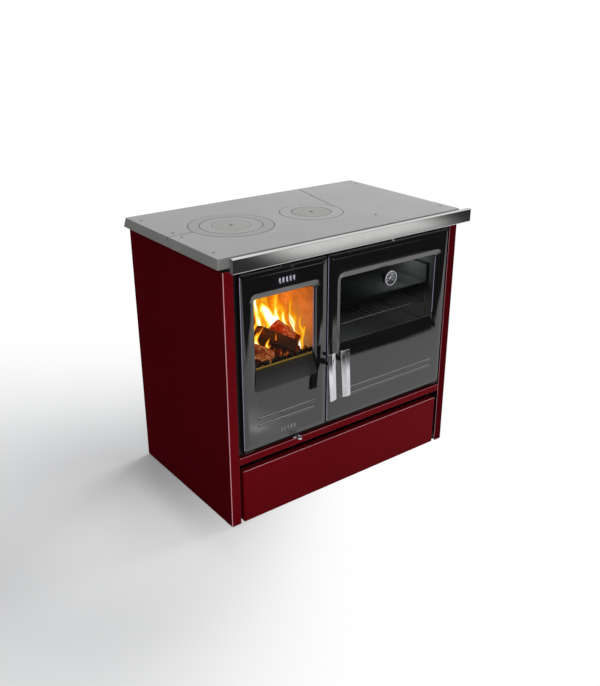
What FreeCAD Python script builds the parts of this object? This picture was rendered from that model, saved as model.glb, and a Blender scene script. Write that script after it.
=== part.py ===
"""Wood-fired range cooker: firebox on the left, oven on the right, log drawer below.

Millimetres. The origin is on the floor below the middle of the hob. +X is the right side seen
from the front, the doors face -Y and +Z is up. Every sub-part of the cooker is an object of one
document, bound to the sheet of sizes, and is written to a file that carries its label.
"""
import FreeCAD, Part
import math
import os

import Sketcher

Vector = FreeCAD.Vector
Rotation = FreeCAD.Rotation

# Driving sizes, one cell each
SIZES = {
    # Carcass
    "carcass_wide": 896,
    "carcass_front": 276,
    "carcass_rear": 270,
    "panel_wall": 2,
    "panel_low": 4,
    "hob_above_panel": 38,
    "front_flange": 32,
    "rear_flange": 20,
    "corner_bend": 2.6,
    "foot_radius": 16,
    "foot_high": 8,
    "foot_stud": 5,
    "foot_stud_long": 18,
    "tray_wall": 4,
    "post_wide": 25,
    "post_wall": 2,
    "post_gap": 3,
    "side_rail_high": 40,
    "runner_rail_drop": 2,
    "deck_low": 204,
    "deck_wall": 4,
    "rear_wall": 2,
    "rear_low": 30,
    "vent_wide": 6,
    "vent_high": 60,
    "vent_pitch": 18,
    "vent_low": 70,
    "sheet_screw": 4,
    # Front frame
    "fascia_set_back": 14,
    "fascia_wall": 3,
    "fascia_side_gap": 5,
    "opening_round": 16,
    "opening_sill": 54,
    "opening_tall": 521,
    "opening_head": 29,
    "firebox_jamb": 30,
    "firebox_latch_jamb": 35,
    "oven_jamb": 52,
    "trim_high": 22,
    "trim_gap": 2,
    "trim_wall": 2,
    # Hob
    "hob_overhang": 10,
    "hob_set_back": 4,
    "hob_rear_overhang": 2,
    "hob_thick": 10,
    "hob_skirt": 28,
    "hob_flare": 5.6,
    "hob_wall": 6,
    "hob_corner": 4,
    "hob_frame_wall": 3,
    "hob_frame_wide": 28,
    "hob_frame_gap": 8,
    "crossbar_shift": 140,
    "ring_seat": 8,
    "ring_lip": 5,
    "ring_gap": 0.5,
    "big_hob_edge": 215,
    "big_outer_ring": 131,
    "big_middle_ring": 95,
    "big_lid": 59,
    "hob_pitch": 293,
    "small_hob_y": 15,
    "small_outer_ring": 102.6,
    "small_lid": 63,
    "lift_bore": 5.5,
    "lift_bore_deep": 7,
    "slit_wide": 2.4,
    "slit_shift": 166,
    "hob_screw": 3,
    "hob_screw_head": 5,
    "hob_screw_long": 20,
    "hob_screw_socket": 2.4,
    "left_screw_edge": 31,
    "left_screw_y": 27,
    "corner_screw_end": 61,
    "corner_screw_edge": 24,
    "cross_screw_end": 106,
    # Rail
    "rail_stand_off": 57,
    "rail_margin": 9,
    "rail_thick": 15,
    "rail_high": 42,
    "rail_drop": 30,
    "rail_round": 3,
    "rail_wall": 2,
    "bracket_radius": 8,
    "bracket_inset": 69,
    "bracket_rise": 15,
    # Firebox
    "firebox_side_gap": 40,
    "firebox_wide": 316,
    "firebox_rear_gap": 110,
    "firebox_wall": 3,
    "firebox_floor_rise": 50,
    "ash_room_high": 212,
    "grate_thick": 10,
    "grate_slot": 8,
    "grate_pitch": 22,
    "grate_rim": 18,
    "grate_gap": 1,
    "ledge_wide": 34,
    "ledge_thick": 6,
    "brick_thick": 26,
    "brick_top_gap": 35,
    "brick_joint": 1,
    "brick_chamfer": 5,
    "brick_set_back": 12,
    "flue_window_drop": 77,
    "flue_window_head": 12,
    "flue_window_near": 112,
    "flue_window_far": 60,
    "guard_high": 26,
    "guard_thick": 6,
    "guard_slot": 8,
    "guard_pitch": 30,
    "ash_pan_high": 70,
    "ash_pan_wall": 1.5,
    "ash_pan_gap": 4,
    "ash_grip_radius": 5,
    "ash_grip_long": 90,
    # Oven
    "oven_rise": 148,
    "oven_top_drop": 38,
    "duct_deep": 60,
    "oven_side_gap": 70,
    "oven_wall": 2,
    "oven_flange": 8,
    "rack_rod": 3,
    "rack_top_gap": 77,
    "rack_rise": 60,
    "rack_set_back": 37,
    "rack_end_gap": 30,
    "shelf_rod": 2.5,
    "shelf_wire": 1.8,
    "shelf_pitch": 24,
    "shelf_gap": 4,
    "baking_tray_high": 24,
    "baking_tray_wall": 1.2,
    "baking_tray_draft": 10,
    "baking_tray_rim": 8,
    # Smoke way
    "chamber_side_gap": 40,
    "chamber_gap": 6,
    "chamber_rise": 38,
    "chamber_wall": 2,
    "baffle_wall": 4,
    "baffle_rear_gap": 80,
    "duct_half_wide": 130,
    "duct_shift": 32,
    "duct_top_gap": 22,
    "duct_wall": 2,
    "duct_port_wide": 120,
    "duct_port_deep": 26,
    "collar_drop": 150,
    "collar_bore": 73,
    "collar_wall": 2.5,
    "collar_long": 78,
    "collar_flange": 92,
    "collar_flange_thick": 3,
    # Doors
    "door_lap": 12,
    "door_stand_off": 6,
    "door_rim": 12,
    "door_crown": 3.5,
    "door_bevel": 16,
    "door_round": 5,
    "door_gap": 6,
    "split_shift": 2,
    "firebox_door_margin": 17,
    "oven_door_margin": 12,
    "recess_rise": 184,
    "recess_drop": 61,
    "recess_round": 22,
    "recess_bottom": 6,
    "glass_sill": 72,
    "glass_head": 19,
    "glass_inset": 18.6,
    "glass_round": 9,
    "recess_hinge_margin": 29,
    "recess_latch_margin": 26,
    "oven_recess_latch_margin": 33,
    "glass_seat": 5,
    "glass_lap": 9,
    "glass_thick": 4,
    "glass_gap": 0.4,
    "door_skin": 3,
    "cavity_rise": 56,
    "cavity_gap": 8,
    "cavity_margin": 22,
    "rib_wide": 9,
    "rib_high": 2.4,
    "rib_crest": 2.5,
    "rib_rise": 74,
    "rib_pitch": 22,
    "rib_margin": 46,
    "slot_wide": 6.5,
    "slot_high": 17,
    "slot_pitch": 12.4,
    "slot_shift": 5,
    "slot_rise": 33.5,
    "slot_drop": 39.5,
    "slide_channel": 3,
    "slide_thick": 2.4,
    "slide_long": 88,
    "slide_high": 26,
    "slide_gap": 0.3,
    "lever_wide": 26,
    "low_lever_shift": 27,
    "lever_reach": 25,
    "lever_gap": 2.5,
    "spoon_long": 10,
    "spoon_wide": 8,
    "spoon_thick": 4,
    "hinge_inset": 6,
    "hinge_into_door": 7,
    "hinge_pin": 2.5,
    "hinge_pin_gap": 0.3,
    "hinge_pin_long": 12,
    "hinge_plate": 4,
    "hinge_drop": 2,
    "hinge_wide": 34,
    "seal_wide": 8,
    "seal_gap": 0.4,
    "seal_lap": 1,
    "seal_round": 20,
    "clip_wide": 12,
    "clip_long": 16,
    "clip_thick": 1.5,
    "liner_wall": 2,
    "liner_gap": 4,
    "liner_bolt": 3,
    "liner_bolt_head": 1.6,
    # Handles and catches
    "handle_long": 150,
    "handle_drop": 2,
    "handle_wide": 32,
    "handle_thick": 5,
    "handle_stand_off": 37.5,
    "handle_lean": 12,
    "handle_turn": 2.25,
    "firebox_handle_edge": 16,
    "oven_handle_edge": 36,
    "spindle_drop": 37,
    "spindle": 5,
    "spindle_gap": 0.3,
    "boss": 8,
    "boss_long": 5,
    "rosette": 10,
    "rosette_thick": 3,
    "cam_long": 14,
    "cam_wide": 9,
    "cam_thick": 3,
    "cam_gap": 0.5,
    "strike_thick": 1.2,
    "strike_wide": 9,
    "strike_high": 30,
    # Thermometer
    "dial_shift": 5,
    "dial_drop": 37,
    "dial_radius": 25,
    "dial_rim": 3,
    "dial_round": 1,
    "dial_deep": 12,
    "dial_recess": 4,
    "dial_stem": 4,
    "dial_stem_long": 30,
    "dial_needle_long": 17,
    "dial_needle_wide": 2.4,
    "dial_needle_thick": 0.8,
    "dial_hub": 2.6,
    # Draught lever
    "damper_shift": 8,
    "damper_drop": 9,
    "damper_rod": 4,
    "damper_reach": 38,
    "damper_gap": 0.5,
    "damper_lug": 5,
    "damper_plate_wide": 140,
    "damper_plate_deep": 32,
    "damper_plate_thick": 3,
    # Drawer
    "drawer_front_margin": 45,
    "drawer_front_low": 5,
    "drawer_hand_gap": 22,
    "drawer_front_wall": 1.5,
    "drawer_front_fold": 22,
    "drawer_gap": 1,
    "drawer_side_room": 64,
    "drawer_box_low": 18,
    "drawer_box_drop": 14,
    "drawer_rear_gap": 60,
    "drawer_box_wall": 1.5,
    "runner_rise": 44,
    "runner_high": 46,
    "runner_rear_gap": 5,
    "runner_wall": 1.5,
    "runner_lip": 3.6,
    "runner_gap": 0.4,
    "runner_middle_thick": 4,
    "runner_inner_thick": 4.6,
    # One overrun serves all the cuts
    "overrun": 5,
}

# Angles in degrees, counts, and the blade's share of its half width that its waist takes in
QUARTER_TURN = 90
AIR_SLOT_COUNT = 5
RACK_RUNG_COUNT = 4
REAR_VENT_COUNT = 9
GRATE_SLOT_COUNT = 9
GUARD_GAP_COUNT = 7
WAIST_SHARE = 0.125
NEEDLE_TILT = math.radians(40)

doc = FreeCAD.newDocument("RangeCooker")
sheet = doc.addObject("Spreadsheet::Sheet", "Sizes")
PARTS = []


class Length:
    """A length that knows its number and the sheet expression that gives it."""

    def __init__(self, value, text):
        self.value = float(value)
        self.text = text

    def joined(self, other, sign, swap=False):
        """This length and another, or a bare share, with one sign of arithmetic between them."""
        value, text = (other.value, other.text) if isinstance(other, Length) else (other, repr(other))
        first, second = ((value, text), (self.value, self.text)) if swap else (
            (self.value, self.text), (value, text))
        results = {
            "+": lambda a, b: a + b,
            "-": lambda a, b: a - b,
            "*": lambda a, b: a * b,
            "/": lambda a, b: a / b,
        }
        return Length(results[sign](first[0], second[0]), f"({first[1]} {sign} {second[1]})")

    def __add__(self, other):
        return self.joined(other, "+")

    def __radd__(self, other):
        return self.joined(other, "+", swap=True)

    def __sub__(self, other):
        return self.joined(other, "-")

    def __rsub__(self, other):
        return self.joined(other, "-", swap=True)

    def __mul__(self, other):
        return self.joined(other, "*")

    def __rmul__(self, other):
        return self.joined(other, "*", swap=True)

    def __truediv__(self, other):
        return self.joined(other, "/")

    def __neg__(self):
        return Length(-self.value, f"(-{self.text})")


class Sizes:
    """The driving sizes by name, as lengths bound to the sheet's cells."""


size = Sizes()


def fill_sheet():
    """Write every driving size in its own cell, with its name as the alias."""
    for row, (name, value) in enumerate(SIZES.items(), start=1):
        sheet.set(f"A{row}", name)
        sheet.set(f"B{row}", str(value))
        sheet.setAlias(f"B{row}", name)
        setattr(size, name, Length(value, f"Sizes.{name}"))
    doc.recompute()


def as_length(value):
    """Zero is the one number that stands for itself."""
    return value if isinstance(value, Length) else Length(value, repr(value))


def bind(thing, name, length):
    """Bind one property of a document object to the sheet."""
    thing.setExpression(name, as_length(length).text)


def part(thing):
    """Count a document object as a sub-part of the cooker."""
    PARTS.append(thing)
    return thing


def place(thing, x=0, y=0, z=0):
    """Bind where a document object stands."""
    bind(thing, "Placement.Base.x", x)
    bind(thing, "Placement.Base.y", y)
    bind(thing, "Placement.Base.z", z)


def spread(count):
    """Steps for a count of even copies, centred on zero."""
    return [step - (count - 1) / 2 for step in range(count)]


# Solids and booleans
def block(label, x, y, z):
    """A box from its low and high faces along each axis."""
    box = doc.addObject("Part::Box", label)
    for name, (low, high) in zip(("Length", "Width", "Height"), (x, y, z)):
        bind(box, name, as_length(high) - as_length(low))
    place(box, x[0], y[0], z[0])
    return box


TURNS = {
    "+Z": Rotation(),
    "+X": Rotation(Vector(0, 1, 0), QUARTER_TURN),
    "-Y": Rotation(Vector(1, 0, 0), QUARTER_TURN),
    "+Y": Rotation(Vector(1, 0, 0), -QUARTER_TURN),
}


def rod(label, radius, length, x, y, z, along="+Z"):
    """A round bar that starts at a point and runs along an axis."""
    cylinder = doc.addObject("Part::Cylinder", label)
    bind(cylinder, "Radius", radius)
    bind(cylinder, "Height", length)
    cylinder.Placement = FreeCAD.Placement(Vector(), TURNS[along])
    place(cylinder, x, y, z)
    return cylinder


def cone(label, low_radius, high_radius, length, x, y, z, along="+Z"):
    """A cone frustum that starts at a point and runs along an axis."""
    frustum = doc.addObject("Part::Cone", label)
    bind(frustum, "Radius1", low_radius)
    bind(frustum, "Radius2", high_radius)
    bind(frustum, "Height", length)
    frustum.Placement = FreeCAD.Placement(Vector(), TURNS[along])
    place(frustum, x, y, z)
    return frustum


def fuse(label, *pieces):
    """One solid, or one group of solids, from several."""
    whole = doc.addObject("Part::MultiFuse", label)
    whole.Shapes = list(pieces)
    whole.Refine = True
    return whole


def group(label, *pieces):
    """Separate solids that share a name."""
    whole = doc.addObject("Part::Compound", label)
    whole.Links = list(pieces)
    return whole


def cut(label, base, *tools):
    """A solid less one or more others."""
    rest = doc.addObject("Part::Cut", label)
    rest.Base = base
    rest.Tool = tools[0] if len(tools) == 1 else fuse(f"{label}_cuts", *tools)
    return rest


def rounded(label, base, radius, wanted):
    """A solid with a fillet along each edge that is wanted."""
    doc.recompute()
    fillet = doc.addObject("Part::Fillet", label)
    fillet.Base = base
    fillet.Edges = [
        (number, radius.value, radius.value)
        for number, edge in enumerate(base.Shape.Edges, start=1)
        if wanted(edge)
    ]
    return fillet


def runs_along(axis):
    """A test for straight edges that lie along one axis."""
    def wanted(edge):
        if not isinstance(edge.Curve, Part.Line):
            return False
        direction = edge.Curve.Direction
        return abs(abs(direction.dot(axis)) - direction.Length) < edge.Tolerance
    return wanted


ALONG_X = Vector(1, 0, 0)
ALONG_Y = Vector(0, 1, 0)
ALONG_Z = Vector(0, 0, 1)


# Sketches and features
def sketch_on(body, role, away=0):
    """A sketch on one of the body's own planes, moved away along the plane's normal."""
    sketch = body.newObject("Sketcher::SketchObject", f"{body.Label}_sketch")
    plane = [feature for feature in body.Origin.OriginFeatures if feature.Role == role][0]
    sketch.AttachmentSupport = [(plane, "")]
    sketch.MapMode = "FlatFace"
    bind(sketch, "AttachmentOffset.Base.z", away)
    return sketch


def hold(sketch, kind, geometry, point, length):
    """Hold one point of a sketch at a distance from the origin."""
    length = as_length(length)
    index = sketch.addConstraint(
        Sketcher.Constraint(kind, -1, 1, geometry, point, length.value))
    sketch.setExpression(f"Constraints[{index}]", length.text)


def polygon(sketch, points):
    """A closed outline through points, each held by its two distances from the origin."""
    points = [(as_length(across), as_length(up)) for across, up in points]
    corners = [Vector(across.value, up.value, 0) for across, up in points]
    count = len(corners)
    for index, corner in enumerate(corners):
        sketch.addGeometry(Part.LineSegment(corner, corners[(index + 1) % count]))
    for index in range(count):
        sketch.addConstraint(Sketcher.Constraint("Coincident", index, 2, (index + 1) % count, 1))
    for index, (across, up) in enumerate(points):
        hold(sketch, "DistanceX", index, 1, across)
        hold(sketch, "DistanceY", index, 1, up)
    return sketch


def rounded_box(sketch, left, right, low, high, radius):
    """A rectangle with four round corners, held by its sides and one radius."""
    left, right, low, high = (as_length(side) for side in (left, right, low, high))
    near, far, down, over = left + radius, right - radius, low + radius, high - radius
    lines = [((near, low), (far, low)), ((right, down), (right, over)),
             ((far, high), (near, high)), ((left, over), (left, down))]
    middles = [(far, down), (far, over), (near, over), (near, down)]
    for start, end in lines:
        sketch.addGeometry(Part.LineSegment(
            Vector(start[0].value, start[1].value, 0), Vector(end[0].value, end[1].value, 0)))
    for turn, middle in enumerate(middles):
        circle = Part.Circle(Vector(middle[0].value, middle[1].value, 0), Vector(0, 0, 1),
                             radius.value)
        start = math.radians(QUARTER_TURN * (turn - 1))
        sketch.addGeometry(Part.ArcOfCircle(circle, start, start + math.radians(QUARTER_TURN)))
    for turn in range(4):
        arc = 4 + turn
        sketch.addConstraint(Sketcher.Constraint("Tangent", turn, 2, arc, 1))
        sketch.addConstraint(Sketcher.Constraint("Tangent", arc, 2, (turn + 1) % 4, 1))
    for line, kind in enumerate(("Horizontal", "Vertical", "Horizontal", "Vertical")):
        sketch.addConstraint(Sketcher.Constraint(kind, line))
    hold(sketch, "DistanceY", 0, 1, low)
    hold(sketch, "DistanceX", 1, 1, right)
    hold(sketch, "DistanceY", 2, 1, high)
    hold(sketch, "DistanceX", 3, 1, left)
    for arc in range(5, 8):
        sketch.addConstraint(Sketcher.Constraint("Equal", 4, arc))
    index = sketch.addConstraint(Sketcher.Constraint("Radius", 4, radius.value))
    sketch.setExpression(f"Constraints[{index}]", radius.text)
    return sketch


def circle(sketch, across, up, radius):
    """A circle held by its middle and radius."""
    across, up = as_length(across), as_length(up)
    sketch.addGeometry(Part.Circle(Vector(across.value, up.value, 0), Vector(0, 0, 1), radius.value))
    hold(sketch, "DistanceX", 0, 3, across)
    hold(sketch, "DistanceY", 0, 3, up)
    index = sketch.addConstraint(Sketcher.Constraint("Radius", 0, radius.value))
    sketch.setExpression(f"Constraints[{index}]", radius.text)
    return sketch


def pad(body, sketch, length):
    """Grow the sketch along its normal."""
    feature = body.newObject("PartDesign::Pad", f"{body.Label}_pad")
    feature.Profile = sketch
    bind(feature, "Length", length)
    return feature


def pocket(body, sketch, depth, forward=False):
    """Cut the sketch into the body and make sure that something is cut."""
    doc.recompute()
    before = body.Shape.Volume
    feature = body.newObject("PartDesign::Pocket", f"{body.Label}_pocket")
    feature.Profile = sketch
    feature.Reversed = forward
    bind(feature, "Length", depth)
    doc.recompute()
    if body.Shape.Volume >= before:
        raise RuntimeError(f"a pocket of {body.Label} cuts nothing")
    return feature


def loft(body, kind, first, second):
    """A ruled loft between two sketches, added or cut."""
    feature = body.newObject(f"PartDesign::{kind}Loft", f"{body.Label}_loft")
    feature.Profile = first
    feature.Sections = [second]
    feature.Ruled = True
    return feature


def revolved(label, points, x, y):
    """A body turned about an upright axis from an outline of radius and height."""
    body = doc.addObject("PartDesign::Body", label)
    sketch = polygon(sketch_on(body, "XZ_Plane"), points)
    feature = body.newObject("PartDesign::Revolution", f"{label}_turn")
    feature.Profile = sketch
    feature.ReferenceAxis = (sketch, ["V_Axis"])
    place(body, x, y, 0)
    return body


def extruded(label, role, points, start, length):
    """A body grown from one outline on a plane that lies at a place along its normal."""
    body = doc.addObject("PartDesign::Body", label)
    pad(body, polygon(sketch_on(body, role, start), points), length)
    return body


fill_sheet()

# Sizes that follow from others, from the floor up, each measured away from the middle
half_carcass = size.carcass_wide / 2
size.fascia_low = size.deck_low + size.deck_wall
size.opening_low = size.fascia_low + size.opening_sill
size.opening_high = size.opening_low + size.opening_tall
size.panel_high = size.opening_high + size.opening_head
size.hob_top = size.panel_high + size.hob_above_panel

size.fascia_front = size.carcass_front - size.fascia_set_back
size.fascia_wide = size.carcass_wide - (size.panel_wall + size.fascia_side_gap) * 2
size.trim_wide = size.carcass_wide - (size.front_flange + size.trim_gap) * 2

size.hob_wide = size.carcass_wide + size.hob_overhang * 2
size.hob_front = size.carcass_front - size.hob_set_back
size.hob_rear = size.carcass_rear + size.hob_rear_overhang
size.hob_frame_rear = size.carcass_rear - size.hob_frame_gap
size.big_hob_x = size.hob_wide / 2 - size.big_hob_edge
size.small_hob_x = size.hob_pitch - size.big_hob_x
size.crossbar_x = size.small_hob_x + size.crossbar_shift
size.slit_rear_x = size.small_hob_x + size.slit_shift
size.left_screw_x = size.hob_wide / 2 - size.left_screw_edge
size.right_screw_x = size.hob_wide / 2 - size.corner_screw_edge

size.rail_front = size.hob_front + size.rail_stand_off
size.rail_wide = size.hob_wide - size.rail_margin * 2
size.rail_low = size.hob_top - size.rail_drop
size.bracket_spread = size.rail_wide / 2 - size.bracket_inset
size.bracket_z = size.rail_low + size.bracket_rise

size.chamber_rear = size.carcass_rear - size.panel_wall - size.rear_wall - size.chamber_gap
size.chamber_right = half_carcass - size.chamber_side_gap
size.chamber_low = size.opening_low + size.chamber_rise
size.firebox_left = half_carcass - size.firebox_side_gap
size.firebox_right = size.firebox_left - size.firebox_wide
size.firebox_rear = size.chamber_rear - size.firebox_rear_gap
size.firebox_floor = size.fascia_low + size.firebox_floor_rise
size.grate_low = size.firebox_floor + size.ash_room_high
size.brick_front = size.fascia_front - size.brick_set_back
size.flue_window_low = size.panel_high - size.flue_window_drop
size.flue_window_high = size.panel_high - size.flue_window_head
size.flue_window_front = size.fascia_front - size.flue_window_near
size.flue_window_rear = size.firebox_rear - size.flue_window_far
size.brick_high = size.flue_window_low - size.brick_top_gap - size.grate_low
size.firebox_opening_left = size.firebox_left - size.firebox_jamb
size.firebox_opening_right = size.firebox_right + size.firebox_latch_jamb

size.door_split = size.firebox_right + size.split_shift
size.oven_opening_left = size.door_split - size.oven_jamb
size.oven_right = half_carcass - size.oven_side_gap
size.oven_low = size.opening_low + size.oven_rise
size.oven_high = size.opening_high - size.oven_top_drop
size.oven_rear = size.chamber_rear - size.duct_deep
size.rack_low = size.oven_low + size.rack_rise
size.rack_pitch = (size.oven_high - size.rack_low - size.rack_top_gap) / (RACK_RUNG_COUNT - 1)
size.rack_front = size.fascia_front - size.rack_set_back
size.rack_rear = size.oven_rear - size.rack_end_gap

size.baffle_x = (size.chamber_right - size.firebox_right) / 2
size.baffle_rear = size.oven_rear - size.baffle_rear_gap
size.duct_x = size.baffle_x + size.duct_shift
size.duct_top = size.panel_high - size.duct_top_gap
size.collar_z = size.duct_top - size.collar_drop
size.collar_end = size.chamber_rear + size.collar_long

size.door_low = size.opening_low - size.door_lap
size.door_high = size.opening_high + size.door_lap
size.door_away = size.fascia_front + size.door_stand_off
size.recess_low = size.door_low + size.recess_rise
size.recess_high = size.door_high - size.recess_drop
size.glass_low = size.recess_low + size.glass_sill
size.glass_high = size.recess_high - size.glass_head
size.cavity_low = size.door_low + size.cavity_rise
size.cavity_high = size.recess_low - size.cavity_gap
size.rib_low_z = size.door_low + size.rib_rise
size.rib_high_z = size.rib_low_z + size.rib_pitch
size.hinge_depth = size.door_away + size.hinge_into_door
size.seal_thick = size.door_stand_off - size.seal_gap

firebox_door_left = -(half_carcass - size.front_flange - size.firebox_door_margin)
firebox_door_right = -size.door_split - size.door_gap / 2
oven_door_left = -size.door_split + size.door_gap / 2
oven_door_right = half_carcass - size.front_flange - size.oven_door_margin
firebox_recess = (firebox_door_left + size.recess_hinge_margin,
                  firebox_door_right - size.recess_latch_margin)
oven_recess = (oven_door_left + size.oven_recess_latch_margin,
               oven_door_right - size.recess_latch_margin)
size.slot_x = -(firebox_door_left + firebox_door_right) / 2 - size.slot_shift
size.low_slot_z = size.door_low + size.slot_rise
size.high_slot_z = size.door_high - size.slot_drop
size.slide_travel = size.slot_pitch / 2
size.low_lever_x = size.slot_x - size.low_lever_shift
size.lever_front = size.door_away + size.lever_reach

size.handle_top = size.glass_low - size.handle_drop
size.handle_stand = size.door_away + size.door_rim + size.door_crown + size.handle_stand_off
size.firebox_handle_x = size.door_split + size.firebox_handle_edge
size.oven_handle_x = size.door_split - size.oven_handle_edge
size.spindle_z = size.handle_top - size.spindle_drop
size.dial_x = (oven_recess[0] + oven_recess[1]) / 2 - size.dial_shift
size.dial_z = size.glass_high - size.dial_drop
size.damper_x = size.baffle_x - size.damper_shift
size.damper_z = size.panel_high - size.damper_drop
size.damper_front = size.fascia_front + size.damper_reach

size.drawer_front_wide = (half_carcass - size.drawer_front_margin) * 2
size.drawer_front_high = size.deck_low - size.drawer_hand_gap
size.drawer_box_half = half_carcass - size.drawer_side_room
size.drawer_box_high = size.drawer_front_high - size.drawer_box_drop
size.drawer_box_rear = size.carcass_rear - size.drawer_rear_gap
size.runner_low = size.drawer_box_low + size.runner_rise
size.runner_rear = size.drawer_box_rear - size.runner_rear_gap
size.runner_rail_low = size.runner_low - size.runner_rail_drop

# Places that several pieces share, with the front given as negative Y
panel_inside = half_carcass - size.panel_wall
panel_front = -size.carcass_front
fascia_face = -size.fascia_front
fascia_rear = fascia_face + size.fascia_wall
tray_top = size.foot_high + size.tray_wall
post_outside = panel_inside - size.post_gap
post_inside = post_outside - size.post_wide
rear_face = size.carcass_rear - size.panel_wall
rear_inside = rear_face - size.rear_wall
deck_top = size.deck_low + size.deck_wall
skirt_bottom = size.hob_top - size.hob_skirt
hob_underside = size.hob_top - size.hob_thick
door_rear = -size.door_away
door_rim_face = door_rear - size.door_rim
door_face = door_rim_face - size.door_crown
drawer_face = panel_front
fold_back = drawer_face + size.drawer_front_fold
strip_outside = size.drawer_box_half + size.runner_inner_thick
middle_outside = strip_outside + size.runner_gap + size.runner_wall
runner_rail_inside = middle_outside + size.runner_gap + size.runner_wall


# Base and carcass
def post_corners():
    """The low corner of each of the four posts, and the middle that its foot stands under."""
    for side, end in ((-1, -1), (1, -1), (1, 1), (-1, 1)):
        x = -post_outside if side < 0 else post_inside
        y = fascia_rear if end < 0 else rear_inside - size.post_wide
        yield side, end, x, y, x + size.post_wide / 2, y + size.post_wide / 2


def make_feet():
    """Four round feet, each with its levelling stud up through the base tray."""
    feet = []
    for corner, (_, _, _, _, x, y) in enumerate(post_corners(), start=1):
        disc = cone(f"foot_disc_{corner}", size.foot_radius, size.foot_radius - size.foot_stud,
                    size.foot_high, x, y, 0)
        stud = rod(f"foot_stud_{corner}", size.foot_stud, size.foot_stud_long, x, y, 0)
        feet.append(fuse(f"foot_{corner}", disc, stud))
    return part(group("levelling_feet", *feet))


def make_base_tray():
    """The floor sheet that the posts stand on, holed for the feet and cut back for the drawer front."""
    floor = block("base_tray_floor", (-post_outside, post_outside), (fascia_rear, rear_inside),
                  (size.foot_high, tray_top))
    holes = []
    for corner, (_, _, _, _, x, y) in enumerate(post_corners(), start=1):
        holes.append(rod(f"base_tray_hole_{corner}", size.foot_stud, size.overrun + tray_top, x, y, 0))
    half = size.drawer_front_wide / 2 + size.drawer_gap
    holes.append(block("base_tray_notch", (-half, half), (panel_front, fold_back + size.drawer_gap),
                       (0, tray_top + size.overrun)))
    return part(cut("base_tray", floor, *holes))


def make_corner_posts():
    """Four square-tube posts from the tray to the hob frame, with the feet's studs inside."""
    posts = []
    wall = size.post_wall
    for corner, (_, _, x, y, _, _) in enumerate(post_corners(), start=1):
        tube = block(f"post_tube_{corner}", (x, x + size.post_wide), (y, y + size.post_wide),
                     (tray_top, size.panel_high))
        hollow = block(f"post_hollow_{corner}", (x + wall, x + size.post_wide - wall),
                       (y + wall, y + size.post_wide - wall),
                       (tray_top - size.overrun, size.panel_high + size.overrun))
        posts.append(cut(f"post_{corner}", tube, hollow))
    return part(group("corner_posts", *posts))


def make_side_rails():
    """Two low rails that carry the drawer runners and two upper ones under the deck."""
    rails = []
    wall = size.post_wall
    levels = (
        ("low", size.runner_rail_low, size.runner_rail_low + size.side_rail_high, runner_rail_inside),
        ("deck", size.deck_low - size.side_rail_high, size.deck_low, post_inside),
    )
    for name, low, high, inside in levels:
        outside = post_inside if name == "low" else post_outside
        front = fold_back + size.drawer_gap if name == "low" else fascia_rear + size.post_wide
        back = rear_inside if name == "low" else rear_inside - size.post_wide
        for side in (-1, 1):
            x = (inside, outside) if side > 0 else (-outside, -inside)
            label = f"side_rail_{name}_{'right' if side > 0 else 'left'}"
            bar = block(f"{label}_bar", x, (front, back), (low, high))
            hollow = block(f"{label}_hollow", (x[0] + wall, x[1] - wall),
                           (front - size.overrun, back + size.overrun), (low + wall, high - wall))
            rails.append(cut(label, bar, hollow))
    return part(group("side_rails", *rails))


def make_deck():
    """The sheet over the drawer bay, notched round the posts."""
    sheet_metal = block("deck_sheet", (-post_outside, post_outside), (fascia_rear, rear_inside),
                        (size.deck_low, deck_top))
    notches = []
    over = size.overrun
    for corner, (side, end, x, y, _, _) in enumerate(post_corners(), start=1):
        across = (x - over, x + size.post_wide) if side < 0 else (x, x + size.post_wide + over)
        deep = (y - over, y + size.post_wide) if end < 0 else (y, y + size.post_wide + over)
        notches.append(block(f"deck_notch_{corner}", across, deep,
                             (size.deck_low - over, deck_top + over)))
    return part(cut("deck_plate", sheet_metal, *notches))


def make_side_panel(side):
    """A folded side sheet with a wide front flange, a rear flange and rounded bends."""
    name = "right" if side > 0 else "left"
    outer, inner = side * half_carcass, side * panel_inside
    front_edge = side * (half_carcass - size.front_flange)
    rear_edge = side * (half_carcass - size.rear_flange)
    front, back = panel_front, size.carcass_rear
    body = extruded(f"{name}_side_panel", "XY_Plane", [
        (outer, front), (outer, back), (rear_edge, back), (rear_edge, rear_face), (inner, rear_face),
        (inner, front + size.panel_wall), (front_edge, front + size.panel_wall), (front_edge, front),
    ], size.panel_low, size.panel_high - size.panel_low)
    doc.recompute()
    flat = body.Tip
    fillet = body.newObject("PartDesign::Fillet", f"{name}_side_bend")
    corner_edges = [
        f"Edge{number}" for number, edge in enumerate(body.Shape.Edges, start=1)
        if runs_along(ALONG_Z)(edge) and abs(edge.CenterOfMass.x - outer.value) < edge.Tolerance
    ]
    fillet.Base = (flat, corner_edges)
    bind(fillet, "Radius", size.corner_bend)
    return part(body)


def make_rear_panel():
    """The back sheet with rows of cooling slots and the hole for the flue collar."""
    back_sheet = block("rear_sheet", (-post_outside, post_outside), (rear_inside, rear_face),
                       (size.rear_low, size.panel_high))
    cuts = [rod("rear_flue_hole", size.collar_bore + size.collar_wall + size.damper_gap,
                size.rear_wall + size.overrun * 2, size.duct_x, rear_inside - size.overrun,
                size.collar_z, "+Y")]
    for index, step in enumerate(spread(REAR_VENT_COUNT), start=1):
        x = size.vent_pitch * step
        cuts.append(block(f"rear_vent_{index}", (x - size.vent_wide / 2, x + size.vent_wide / 2),
                          (rear_inside - size.overrun, rear_face + size.overrun),
                          (size.vent_low, size.vent_low + size.vent_high)))
    return part(cut("rear_panel", back_sheet, *cuts))


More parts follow.
